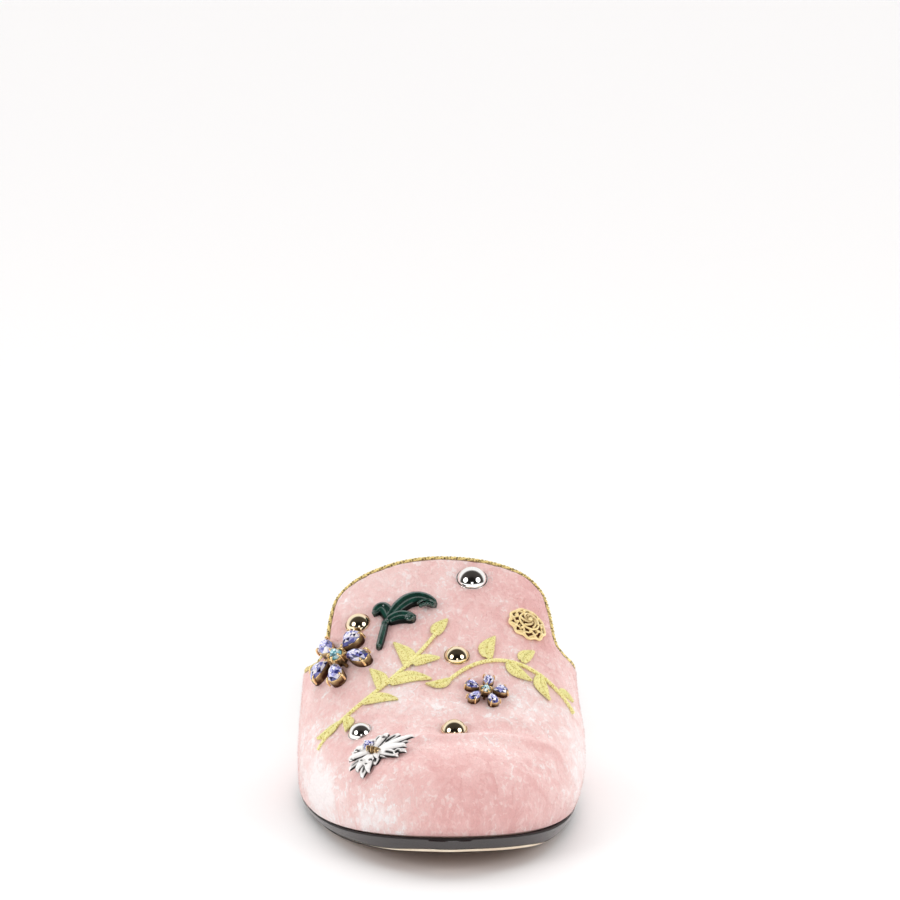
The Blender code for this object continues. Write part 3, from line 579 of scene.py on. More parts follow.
velvet = makeVelvet()
lining = makeLeather("liningLeather", (0.74, 0.58, 0.50), (0.62, 0.46, 0.39), pores=1100, gloss=0.55)
brownEdge = makeLeather("brownEdge", (0.30, 0.16, 0.08), (0.20, 0.10, 0.05), gloss=0.5)
goldCord = makeThread("goldCord", (1.0, 0.82, 0.32), (0.08, 0.035, 0.008), 0.25, 0.6)
goldThread = makeThread("goldThread", (1.0, 0.97, 0.46), (0.64, 0.52, 0.10), 0.0, 0.12)
goldPlate = makePlate("goldPlate", (0.95, 0.80, 0.55), (0.20, 0.11, 0.06), 0.03)
agedGold = makePlate("agedGold", (1.0, 0.74, 0.38), (0.06, 0.02, 0.008), 0.10, 0.8)
paleGold = makePlate("paleGold", (1.0, 0.83, 0.43), (0.14, 0.03, 0.004), 0.08, 0.08)
silverPlate = makePlate("silverPlate", (0.94, 0.93, 0.91), (0.04, 0.04, 0.04), 0.03)
satinSilver = makePlate("satinSilver", (0.98, 0.98, 0.96), (0.012, 0.010, 0.010), 0.14, 0.25)
# Facet tones from dark to white: the glass's colour with painted reflections
violetGlass = makeStone("violetGlass", (
    (0.12, (0.008, 0.010, 0.07)), (0.28, (0.06, 0.07, 0.33)), (0.45, (0.23, 0.24, 0.63)),
    (0.64, (0.58, 0.59, 0.90)), (0.82, (0.96, 0.96, 1.0))))
aquaGlass = makeStone("aquaGlass", (
    (0.05, (0.01, 0.07, 0.10)), (0.3, (0.06, 0.30, 0.38)), (0.55, (0.24, 0.62, 0.70)),
    (0.85, (0.86, 0.98, 0.99))))
print("finishes ready")

# Upper: a dense hollow wall with listed creases
upperLook = {
    "toeRibs": 84, "sideRibs": 74, "levels": 116,
    "fadeIn": 5.0,  # creases grow over this height from the sole
    # x and back of each crease's start, bend and end, with its height and half width
    "creases": (
        ((-6, 33.0), (12, 32.0), (33, 40.0), 1.1, 2.6),
        ((-4, 38.5), (12, 38.0), (30, 45.0), -0.5, 3.0),
        ((17, 50.0), (25, 48.0), (32, 43.0), 0.45, 1.8),
        ((31, 30.0), (36, 38.0), (39, 52.0), 0.5, 2.4),
        ((20, 18.0), (30, 24.0), (36, 36.0), -0.35, 2.0),
        ((-40, 60.0), (-36, 48.0), (-30, 34.0), 0.4, 2.2),
        ((-12, 52.0), (0, 48.0), (8, 50.0), 0.4, 2.6),
        ((30, 96.0), (34, 84.0), (38, 70.0), 0.4, 2.6),
    ),
    # Ring pressed in around each stud, and how much the vamp's slope stretches it
    "dimple": 0.3, "dimpleWidth": 1.6, "dimpleStretch": 1.1,
    # Crush of the nap: size across and along the shoe, and height
    "crush": ((1.9, 4.6, 0.14), (6.0, 9.0, 0.112)),
    # Painted light and shade, with some brushed nap: places painted paler where light falls on the sides and
    # vamp, or deeper where the amount is negative, as on the shaded toe front: middle, reach and amount
    "pale": (
        ((-39, 34, 13), (9, 24, 11), 1.4), ((-25, 9, 11), (11, 11, 9), 1.0),
        ((-43, 66, 26), (8, 22, 18), 0.4), ((43, 48, 22), (7, 26, 17), 1.0),
        ((28, 57, 37), (14, 13, 13), 0.6), ((-7, 50, 36), (19, 10, 12), 0.55),
        ((-18, 68, 46), (16, 13, 14), 0.5), ((-25, 104, 58), (14, 15, 18), 0.4),
        ((15, 82, 54), (8, 9, 10), 0.3), ((16, 30, 31), (22, 6, 6), 0.15),
        ((-12, 4, 18), (9, 8, 12), 0.35), ((26, 96, 57), (14, 14, 16), -0.3),
        ((12, 4, 17), (27, 11, 12), -0.3), ((-4, 104, 63), (24, 13, 14), 0.35),
    ),
    "paintedLightRange": (-0.5, 1.2),
}
studTable = {
    "name": ("stud_silver_throat", "stud_gold_collar", "stud_gold_vamp", "stud_gold_toe", "stud_silver_toe"),
    "x": (9.9, -25.8, 4.8, 3.6, -24.8),
    "back": (103.7, 89.2, 72.5, 39.2, 44.5),
    "radius": (5.0, 4.0, 4.0, 4.0, 3.75),
}


def creaseHeight(x, back):
    look = upperLook
    total = np.zeros(x.shape)
    for start, bend, end, height, halfWidth in look["creases"]:
        nearest = np.full(x.shape, 1e9)
        for spot in bezier(start, bend, end, 40):
            nearest = np.minimum(nearest, (x - spot[0]) ** 2 + (back - spot[1]) ** 2)
        total += height * np.exp(-nearest / halfWidth ** 2)
    for studX, studBack, radius in zip(studTable["x"], studTable["back"], studTable["radius"]):
        away = np.hypot(x - studX, (back - studBack) * look["dimpleStretch"])
        total -= look["dimple"] * np.exp(-((away - radius) / look["dimpleWidth"]) ** 2)
    return total


# Painted light and shade on the velvet, partly brushed nap: how much paler each point is made
def paintedLightAndNap(points):
    total = np.zeros(len(points))
    for middle, reach, amount in upperLook["pale"]:
        total += amount * np.exp(-(((points - middle) / reach) ** 2).sum(1))
    return np.clip(total, *upperLook["paintedLightRange"])


def crushHeight(points):
    total = np.zeros(len(points))
    for across, along, height in upperLook["crush"]:
        places = (points / (across, along, along)).tolist()
        total += height * np.array([noise.noise(place) for place in places])
    return total


def meshPoints(mesh):
    places = np.empty(len(mesh.vertices) * 3)
    mesh.vertices.foreach_get("co", places)
    return places.reshape(-1, 3) / mm + shoeOrigin


def makeUpper():
    look = upperLook
    build = newBuild()
    addGrid(build, upperRibs(look["toeRibs"], look["sideRibs"], look["levels"]))
    piece = finishMesh(build, "velvetUpper", [velvet, lining], ["upper"])
    mesh = piece.data
    inside = Vector((0, -0.06, 0.02))  # a spot in the toe room
    if mesh.polygons[0].normal.dot(mesh.polygons[0].center - inside) < 0:
        mesh.flip_normals()
    points = meshPoints(mesh)
    normals = np.empty(points.size)
    mesh.vertex_normals.foreach_get("vector", normals)
    fade = np.clip((points[:, 2] - featherHeight(points[:, 1])) / look["fadeIn"], 0, 1)
    lift = (creaseHeight(points[:, 0], points[:, 1]) + crushHeight(points)) * fade
    moved = points + normals.reshape(-1, 3) * lift[:, None] - shoeOrigin
    mesh.vertices.foreach_set("co", (moved * mm).reshape(-1))
    # Painted light and shade, kept as a mark on the mesh for the velvet's finish
    pale = mesh.attributes.new("pale", "FLOAT", "POINT")
    pale.data.foreach_set("value", paintedLightAndNap(points).astype(np.float32))
    mesh.update()
    wall = piece.modifiers.new("wall", "SOLIDIFY")
    wall.thickness = shoe["wall"] * mm
    wall.offset = -1
    wall.use_even_offset = True
    wall.use_rim = True
    wall.material_offset = 1
    return piece


upper = makeUpper()

# Short pile standing off the velvet, as closed three-sided spikes
pileLook = {"count": 38000, "length": (0.3, 0.7), "radius": 0.045, "root": 0.05, "lean": 0.49, "droop": 0.25,
            "leastRise": 0.25}


def makePile():
    look = pileLook
    count = look["count"]
    mesh = upper.data
    mesh.calc_loop_triangles()
    corners = np.empty(len(mesh.loop_triangles) * 3, np.int32)
    mesh.loop_triangles.foreach_get("vertices", corners)
    places = meshPoints(mesh)
    first, second, third = (places[corners[k::3]] for k in range(3))
    cross = np.cross(second - first, third - first)
    area = np.linalg.norm(cross, axis=1)
    picked = chance.choice(len(area), count, p=area / area.sum())
    share = chance.random((count, 2))
    share = np.where(share.sum(1, keepdims=True) > 1, 1 - share, share)
    root = first[picked] + share[:, :1] * (second - first)[picked] + share[:, 1:] * (third - first)[picked]
    out = unit(cross[picked])
    ahead = unit(out + chance.normal(0, look["lean"], (count, 3)) - (0, 0, look["droop"]))
    short = np.clip(look["leastRise"] - (ahead * out).sum(1, keepdims=True), 0, None)
    ahead = unit(ahead + 2 * short * out)
    side = unit(np.cross(out, chance.normal(0, 1, (count, 3))))
    turn = np.linspace(0, 2 * math.pi, 3, endpoint=False)[None, :, None]
    foot = (root - out * look["root"])[:, None] + look["radius"] * (
        side[:, None] * np.cos(turn) + np.cross(out, side)[:, None] * np.sin(turn))
    tip = root + ahead * chance.uniform(*look["length"], (count, 1))
    build = newBuild()
    # The pile carries the same painted light and shade as the velvet beneath it
    start = addPoints(build, np.concatenate((foot, tip[:, None]), 1), {"pale": paintedLightAndNap(root)[:, None]})
    spikes = start + 4 * np.arange(count)[:, None, None]
    addFaces(build, (spikes + np.array(((0, 1, 3), (1, 2, 3), (2, 0, 3), (2, 1, 0)))).reshape(-1, 3), 0)
    finishMesh(build, "velvetPile", [velvet], smooth=False)


makePile()

# Gold cord along the topline, three strands twisted together, with a brown fold against the velvet
# that is partly painted shadow: a dark line between the cord and the velvet
cordLook = {"strands": 3, "pitch": 4.2, "strandRadius": 0.56, "twistRadius": 0.50, "step": 0.3, "sides": 8,
            "beadStep": 1.0, "shade": 0.15, "offset": 0.1}
foldLook = {"radius": 0.17, "sides": 6, "offset": 0.05, "inset": 0.1}


def toplinePath(offset, inset):
    ribs = upperRibs(4, 90, 260)
    edge = np.concatenate((ribs[0], ribs[-1][-2::-1]))
    inner = np.concatenate((ribs[1], ribs[-2][-2::-1]))
    along = unit(np.concatenate((edge[1:2] - edge[:1], edge[2:] - edge[:-2], edge[-1:] - edge[-2:-1])))
    outward = edge - inner
    outward = unit(outward - along * (outward * along).sum(-1, keepdims=True))
    across = np.cross(along, outward)
    towards = np.array((float(crownX(shoe["pole"])), 2 * shoe["pole"], 0)) - edge
    inward = across * np.sign((across * towards).sum(-1, keepdims=True))
    path = edge + inward * inset + outward * offset
    keep = path[:, 2] > featherHeight(path[:, 1]) + shoe["cordRadius"] + 2 * shoe["gap"]
    both = resample(np.concatenate((path, inward), 1)[keep], cordLook["step"])
    return both[:, :3], unit(both[:, 3:])


# Strands twisted about a path, given two directions across it
def addTwist(build, path, first, second, look):
    travel = np.arange(len(path)) * look["step"]
    for strand in range(look["strands"]):
        phase = 2 * math.pi * (travel / look["pitch"] + strand / look["strands"])
        aside = first * np.cos(phase)[:, None] + second * np.sin(phase)[:, None]
        centre = path + look["twistRadius"] * aside
        guide = first[[0, *range(len(path)), -1]]
        addTubes(build, centre[None], look["strandRadius"], look["sides"], guide=guide,
                 turn=(travel / look["beadStep"])[None], strand=look["shade"] * strand)


def makePiping():
    build = newBuild()
    path, inward = toplinePath(shoe["cordRadius"] + cordLook["offset"], shoe["wall"] / 2)
    along = unit(np.gradient(path, axis=0))
    inward = unit(inward - along * (inward * along).sum(-1, keepdims=True))
    addTwist(build, path, inward, np.cross(along, inward), cordLook)
    finishMesh(build, "goldPiping", [goldCord], ["topline_piping"])
    fold = newBuild()
    path = toplinePath(foldLook["offset"], foldLook["inset"])[0]
    addTubes(fold, path[None], foldLook["radius"], foldLook["sides"])
    finishMesh(fold, "brownFoldAndShadow", [brownEdge])


makePiping()

# Sole, heel and insole as fine plates
soleLook = {
    # Edge from top to bottom: margin past the feather line, drop, share of the lip's height,
    # inset and rise of the bevel along the sides, and finish of the band below
    # Finish 1 is painted shade: along the top where the sole meets the upper, and in the grooves about the
    # lip
    "edge": (
        (-1.7, 0.00, 0.0, 0.0, 0.0, 1), (0.45, 0.00, 0.0, 0.7, 0.0, 1), (0.62, 0.16, 0.0, 0.7, 0.0, 1),
        (0.86, 0.40, 0.0, 0.7, 0.0, 0), (0.88, 1.00, 0.0, 0.7, 0.1, 0), (0.88, 2.40, 0.5, 0.8, 0.6, 0),
        (0.80, 3.64, 1.0, 0.9, 1.0, 0), (0.60, 3.76, 1.0, 0.9, 1.0, 1), (0.44, 3.84, 1.0, 0.9, 1.0, 1),
        (0.52, 3.90, 1.0, 0.9, 1.0, 2), (0.42, 3.96, 0.0, 0.9, 1.0, 1), (-0.1, 4.00, 0.0, 1.7, 0.0, 3),
    ),
    # Height of the bare lip, and where it fades in across the toe and out behind it
    "lip": 0.62, "lipStart": (-22.0, -6.0), "lipEnd": (24.0, 34.0), "lipBack": (14.0, 20.0),
    # Bevel under the edge, and where it fades in to each side and out behind
    "bevel": 1.6, "bevelLateral": (12.0, 38.0), "bevelMedial": (26.0, 41.0), "bevelBack": (110.0, 150.0),
    # Lifts of the heel from top to bottom: margin, drop and finish of the band below; finish 1 is painted
    # shade
    "heelEdge": (
        (0.6, 0.0, 0), (0.55, 1.9, 1), (0.38, 2.0, 1), (0.46, 2.1, 0), (0.36, 3.9, 1), (0.2, 4.0, 1),
        (0.28, 4.1, 0), (0.12, 6.0, 1), (-0.3, 6.2, 1), (-0.22, 6.5, 2), (-0.42, 10.1, 2),
        (-0.6, 10.5, 2), (-1.0, 10.7, 2),
    ),
    "heelGap": 0.05,  # clearance under the sole
    # Rounded edge of the insole: inset and drop from its top, its margins inside and behind the upper
    "insoleEdge": ((0.9, 0.0), (0.45, 0.12), (0.12, 0.4), (0.0, 0.8), (0.0, 2.65)),
    "insoleDish": 0.5, "insoleInset": 0.5, "insoleMargin": -0.4, "insoleWidens": (157, 168),
    # Steps of the meshes
    "toeSteps": 40, "bodySteps": 70, "backSteps": 17, "heelSteps": 30, "across": 14,
    "finishes": {
        "solePaint": dict(colour=(0.016, 0.008, 0.008), shade=(0.010, 0.005, 0.005), scuff=0.25, coat=1.0,
                          shine=0.1, coatIndex=1.75),
        # A darker, uncoated paint: painted shade in grooves and where the sole meets the upper
        "soleGrooveShade": dict(colour=(0.007, 0.005, 0.005), shade=(0.010, 0.005, 0.005), gloss=0.6),
        "soleLip": dict(colour=(0.88, 0.80, 0.64), shade=(0.74, 0.62, 0.46), pores=700, gloss=0.5),
        "soleTread": dict(colour=(0.42, 0.26, 0.17), shade=(0.28, 0.15, 0.09), pores=600, scuff=0.7,
                          gloss=0.5),
        "heelRubber": dict(colour=(0.035, 0.03, 0.03), shade=(0.02, 0.018, 0.018), pores=1500, scuff=0.6,
                           gloss=0.6),
        "insoleSock": dict(colour=(0.76, 0.60, 0.52), shade=(0.66, 0.49, 0.42), pores=1000, scuff=0.35,
                           gloss=0.5),
    },
}


def soleStations(start):
    look = soleLook
    toeEnd, heelStart = shoe["pole"], shoe["length"] - shoe["heelReach"]
    toe = toeEnd * (1 - np.cos(np.linspace(0, math.pi / 2, look["toeSteps"] + 1)[:-1]))
    body = np.linspace(toeEnd, heelStart, look["bodySteps"] + 1)[:-1]
    heel = heelStart + shoe["heelReach"] * np.sin(np.linspace(0, math.pi / 2, look["heelSteps"] + 1))
    if start > 0:
        return np.concatenate((np.linspace(start, heelStart, look["backSteps"] + 1)[:-1], heel))
    return np.concatenate((toe, body, heel))


def soleLoop(stations, margin):
    left = np.stack((planEdge(lateral, stations, False), stations), -1)
    right = np.stack((planEdge(medial, stations, False), stations), -1)
    loop = np.concatenate((left, right[-2::-1] if stations[0] > 0 else right[-2:0:-1]))
    along = np.roll(loop, -1, 0) - np.roll(loop, 1, 0)
    outward = unit(np.stack((-along[:, 1], along[:, 0]), -1))
    return loop + outward * (margin(*loop.T)[:, None] if callable(margin) else margin)


# Solid through plan outlines given as margin, height function and finish of the band below, from the top down
def addPlate(build, stations, rings, topSlot, dish=None):
    rows = []
    for margin, height, slot in rings:
        loop = soleLoop(stations, margin)
        rows.append(np.concatenate((loop, height(*loop.T)[:, None]), 1))
    for row, nextRow, ring in zip(rows, rows[1:], rings):
        addGrid(build, np.stack((row, nextRow)), closeV=True, slot=ring[2])
    last = len(stations) - 1
    order = np.arange(last + 1)
    share = np.linspace(0, 1, soleLook["across"] + 1)[None, :, None]
    for row, slot, sunk in ((rows[0], topSlot, dish), (rows[-1], rings[-1][2], None)):
        left, right = row[order], row[(2 * last - order) % len(row)]
        points = left[:, None] * (1 - share) + right[:, None] * share
        if sunk:
            points[..., 2] -= sunk * (1 - (2 * share[..., 0] - 1) ** 4)
        addGrid(build, points, slot=slot)


def makeSole():
    look = soleLook
    leathers = [makeLeather(name, **use) for name, use in look["finishes"].items()]
    paint, groove, lip, tread, rubber, sock = leathers

    def bevel(x, back):
        sides = blendStep(-x, *look["bevelLateral"]) + blendStep(x, *look["bevelMedial"])
        return look["bevel"] * sides * (1 - blendStep(back, *look["bevelBack"]))

    def edgeMargin(margin, inset):
        return lambda x, back: margin - inset * bevel(x, back)

    def edgeHeight(drop, share, rise):
        def height(x, back):
            shown = blendStep(x, *look["lipStart"]) * (1 - blendStep(x, *look["lipEnd"]))
            lipHeight = look["lip"] * shown * (1 - blendStep(back, *look["lipBack"]))
            return np.maximum(soleTop(back) - drop + share * lipHeight + rise * bevel(x, back), 0)
        return height

    build = newBuild()
    rings = [(edgeMargin(margin, inset), edgeHeight(drop, share, rise), slot)
             for margin, drop, share, inset, rise, slot in look["edge"]]
    addPlate(build, soleStations(0), rings, 4)
    finishes = [paint, groove, lip, tread, lining]
    finishMesh(build, "leatherOutsole", finishes, ["outsole"], sharp=45)
    build = newBuild()
    heelTop = shoe["heelHeight"] - look["heelGap"]
    lowest = look["heelEdge"][-1][1]
    rings = [(margin, lambda x, back, drop=drop: np.full(len(back), heelTop * (1 - drop / lowest)), slot)
             for margin, drop, slot in look["heelEdge"]]
    addPlate(build, soleStations(shoe["heelBreast"]), rings, 0)
    finishMesh(build, "stackedHeel", [paint, groove, rubber], ["heel"], sharp=45)

    inset = shoe["wall"] + look["insoleInset"]

    def insoleMargin(extra):
        widens = look["insoleMargin"] + inset
        return lambda x, back: widens * blendStep(back, *look["insoleWidens"]) - inset - extra

    build = newBuild()
    insoleTop = shoe["gap"] + shoe["insoleThickness"]
    rings = [(insoleMargin(extra), lambda x, back, drop=drop: soleTop(back) + insoleTop - drop, 0)
             for extra, drop in look["insoleEdge"]]
    addPlate(build, soleStations(0), rings, 0, look["insoleDish"])
    finishMesh(build, "leatherInsole", [sock], ["insole"], sharp=60)


makeSole()

# Domed studs, each a ball cap with a thin rounded lip and a fine groove around it
# Sizes are shares of the radius, with the sink in mm and the dome's span in degrees
studLook = {"segments": 72, "sink": -0.3, "skirt": -0.2, "rimReach": 0.955, "rimHeight": 0.06,
            "rimRise": 0.04, "groove": 0.02, "domeReach": 0.935, "domeFoot": 0.08, "domeSpan": 71}


def onSeat(seat, u, v, height):
    u, v, height = np.broadcast_arrays(np.asarray(u, float), v, height)
    return (seat["origin"] + seat["right"] * u[..., None] + seat["up"] * v[..., None]
            + seat["out"] * height[..., None])


def makeStuds():
    look = studLook
    lip = (1 - look["rimReach"]) / 2
    rim = [(1 - lip + lip * math.cos(a), look["rimHeight"] + look["rimRise"] * math.sin(a), 0.0)
           for a in np.linspace(0, math.pi, 9)]
    span = math.radians(look["domeSpan"])
    ball = look["domeReach"] / math.sin(span)
    ballMiddle = look["domeFoot"] - ball * math.cos(span)
    dome = [(ball * math.sin(a), ballMiddle + ball * math.cos(a), 0.8 if a == span else 0.0)
            for a in np.linspace(span, 0, 22)[:-1]]
    # Reach, rise and darkness from the skirt in the velvet to the top; the darkness is painted shade
    profile = np.array([(1.0, look["skirt"], 0.6)] + rim + [(look["rimReach"], look["groove"], 1.0)] + dome)
    reach, rise, hollow = profile.T[..., None]
    peak = ballMiddle + ball
    turn = np.linspace(0, 2 * math.pi, look["segments"], endpoint=False)
    for name, x, back, radius in zip(*studTable.values()):
        build = newBuild()
        seat = seatOnVamp(x, back)
        points = onSeat(seat, radius * reach * np.cos(turn), radius * reach * np.sin(turn),
                        radius * rise + look["sink"])
        addGrid(build, points, closeV=True, cavity=hollow)
        addFan(build, points[-1], onSeat(seat, 0.0, 0.0, radius * peak + look["sink"]))
        silver = "silver" in name
        finishMesh(build, name.replace("stud", "domedStud"), [silverPlate if silver else goldPlate], [name])


makeStuds()

# Jewelled flowers: a deep gold cup with claws for each pear-shaped stone
flowerLook = {
    "petals": 5, "stoneStart": 3.4, "stoneEnd": 11.0, "halfWidth": 2.6, "taper": 0.7, "widest": 0.807,
    "stoneSeat": 1.25, "crown": 3.2, "centre": 2.2, "centreLift": 0.4, "centreCup": 3.2,
    "petalClaws": (0.02, 0.36, 0.64), "centreClaws": (0.05, 0.25, 0.45, 0.65, 0.85),
    "bridge": (2.0, 3.4, 4.6), "bridgeRadius": 0.6, "bridgeRise": 0.5,
    # Wall of a cup: share of its thickness, rise from its foot or from its top, and darkness, as painted
    # shade
    "cupWall": 0.5, "cupHeight": 2.7, "cupFloor": 0.7,
    "cupFoot": ((0.2, -0.5, 1.0), (0.35, 0.3, 0.95), (0.8, 1.2, 0.8)),
    "cupTop": ((0.95, -0.6, 0.5), (1.0, -0.2, 0.0), (0.85, 0.0, 0.0), (0.25, 0.0, 0.0), (0.0, -0.25, 0.5)),
    # Claw: way in from the stone's edge, rise for a cup of the stated height, and radius
    "clawCup": 2.3,
    "claw": ((-0.55, 0.9, 0.36), (-0.6, 1.9, 0.36), (-0.45, 2.6, 0.36), (0.0, 3.05, 0.342),
             (0.55, 3.15, 0.252)),
    # Rings of a stone: turned by half a step or not, share of the outline, height, and share of the crown
    "stoneRings": ((0, 0.6, 0.0, 0.0), (0, 1.0, 1.0, 0.0), (0, 0.98, 1.25, 0.0), (1, 0.80, 0.0, 0.66),
                   (0, 0.54, 0.0, 0.88), (1, 0.40, 0.0, 0.90)),
    # Share of the crown at the flat top, and painted reflection tones of its facets, of the rim and of the
    # back
    "stoneTop": 0.92, "topTones": (0.35, 0.65), "rimTone": 0.3, "backTone": 0.1,
}
flowerTable = {"name": ("flower_large", "flower_small"), "x": (-30.7, 13.2), "back": (77.4, 56.7),
               "turn": (36, 10), "size": (1.0, 0.64)}


def pearOutline(angle, count, size):
    look = flowerLook
    theta = np.linspace(0, 2 * math.pi, count, endpoint=False)
    reach = look["stoneStart"] + (look["stoneEnd"] - look["stoneStart"]) * (1 - np.cos(theta)) / 2
    width = look["halfWidth"] / look["widest"] * np.sin(theta) * np.abs(np.sin(theta / 2)) ** look["taper"]
    along = np.array((math.cos(angle), math.sin(angle)))
    across = np.array((-along[1], along[0]))
    return (along * reach[:, None] + across * width[:, None]) * size


def roundOutline(middle, radius, count):
    theta = np.linspace(0, 2 * math.pi, count, endpoint=False)
    return np.array(middle) + radius * np.stack((np.cos(theta), np.sin(theta)), -1)


def grown(outline, amount):
    along = np.roll(outline, -1, 0) - np.roll(outline, 1, 0)
    return outline + unit(np.stack((along[:, 1], -along[:, 0]), -1)) * amount


def addCup(build, seat, outline, size, height, claws, place=drape):
    look = flowerLook
    wall = look["cupWall"] * size
    steps = [*look["cupFoot"], *((share, height + rise, hollow) for share, rise, hollow in look["cupTop"]),
             (0.0, look["cupFloor"], 1.0)]
    rows = [place(seat, *grown(outline, wall * share).T, rise * size) for share, rise, hollow in steps]
    addGrid(build, np.stack(rows), closeV=True, cavity=np.array([[step[2]] for step in steps]))
    middle = outline.mean(0)
    # The floor under the stone is darkest: painted shade
    addFan(build, rows[-1], place(seat, *middle, look["cupFloor"] * size), cavity=1.0)
    for claw in claws:
        spot = outline[int(claw * len(outline)) % len(outline)]
        inward = unit(middle - spot)
        path = [place(seat, *(spot + inward * share * size), rise * size * height / look["clawCup"])
                for share, rise, radius in look["claw"]]
        radius = size * np.array([step[2] for step in look["claw"]])
        addTubes(build, np.array(path)[None], radius[None], 8, guide=seat["right"] + 0.37 * seat["up"])


def addFacets(build, faces, tones):
    start = addPoints(build, faces, {})
    addFaces(build, start + np.arange(faces.shape[0] * faces.shape[1]).reshape(faces.shape[:2]), 0, tones)


def addStone(build, seat, outline, size, base, crown, place=drape):
    look = flowerLook
    middle = outline.mean(0)
    halfway = (outline + np.roll(outline, -1, 0)) / 2
    rings = []
    for turned, share, height, part in look["stoneRings"]:
        spots = middle + ((halfway if turned else outline) - middle) * share
        rings.append((turned, place(seat, *spots.T, base + (height + crown * part) * size)))
    i = np.arange(len(outline))
    j = (i + 1) % len(outline)
    for (lowTurned, low), (highTurned, high) in zip(rings, rings[1:]):
        bright = 1.0
        if lowTurned == highTurned:
            corners = [(low[i], low[j], high[j], high[i])]
            bright = look["rimTone"]
        elif highTurned:
            corners = [(low[i], low[j], high[i]), (high[i], low[j], high[j])]
        else:
            corners = [(low[i], high[j], high[i]), (low[i], low[j], high[j])]
        for faces in corners:
            addFacets(build, np.stack(faces, 1), bright * chance.random(len(i)))
    least, spread = look["topTones"]
    ends = ((rings[-1][1], crown * look["stoneTop"], least + spread * chance.random(len(i))),
            (rings[0][1], 0.0, look["backTone"]))
    for row, height, tones in ends:
        peak = np.broadcast_to(place(seat, *middle, base + height * size), row.shape)
        addFacets(build, np.stack((row[i], row[j], peak), 1), tones)


def makeFlowers():
    look = flowerLook
    for name, x, back, turn, size in zip(*flowerTable.values()):
        seat = seatOnVamp(x, back)
        setting, petals, centre = newBuild(), newBuild(), newBuild()
        base = (look["stoneSeat"] + shoe["gap"]) * size
        for petal in range(look["petals"]):
            angle = math.radians(turn) + 2 * math.pi * petal / look["petals"]
            addCup(setting, seat, pearOutline(angle, 40, size), size, look["cupHeight"], look["petalClaws"])
            addStone(petals, seat, pearOutline(angle, 9, size * 0.995), size, base, look["crown"])
            joint = angle + math.pi / look["petals"]
            reach = np.array(look["bridge"]) * size
            bridge = drape(seat, reach * math.cos(joint), reach * math.sin(joint), look["bridgeRise"] * size)
            # The bridges between the petals are darkened: painted shade
            addTubes(setting, bridge[None], look["bridgeRadius"] * size, 8, cavity=0.8)
        radius = look["centre"] * size
        addCup(setting, seat, roundOutline((0, 0), radius, 36), size, look["centreCup"], look["centreClaws"])
        base += look["centreLift"] * size
        addStone(centre, seat, roundOutline((0, 0), radius, 8), size, base, look["crown"])
        label = name.split("_")[1] + "Flower"
        petalNodes = [f"{name}_petal_{petal + 1}" for petal in range(look["petals"])]
        finishMesh(setting, label + "Setting", [agedGold], [name + "_setting"], sharp=50)
        finishMesh(petals, label + "Petals", [violetGlass], petalNodes, smooth=False)
        finishMesh(centre, label + "Centre", [aquaGlass], [name + "_centre"], smooth=False)


makeFlowers()

# Filigree rosette of bent wire, rings and grains over a shallow dome, with a dark plate as painted shade in
# its holes
rosetteLook = {
    "x": 26.7, "back": 88.6, "radius": 6.4, "narrow": 0.86, "slant": -38, "dome": 1.5, "domeFoot": 0.3,
    "scallops": 9, "arch": 0.45, "grains": 32, "grainRadius": (0.22, 0.42), "plate": 0.93, "middle": 0.75,
    # Closed wires: reach, thickness, lift and depth of the scallops
    "rings": ((6.4, 0.46, 0.0, 0.08), (3.3, 0.36, 0.3, 0.0)),
    # Wires in each scallop: reach at start and end, twist and thickness
    "wires": ((3.3, 6.0, 0.5, 0.34), (5.9, 4.5, 0.75, 0.30)),
    # Beads in each scallop: reach, turn, lift and radius
    "beads": ((4.4, 0.75, 0.5, 0.48), (5.6, math.pi / 9, 0.2, 0.46)),
    # Petals of the rose: count, reach at start and end, twist, lift and thickness
    "rose": (6, 2.9, 0.9, 1.7, 0.5, 0.36),
}


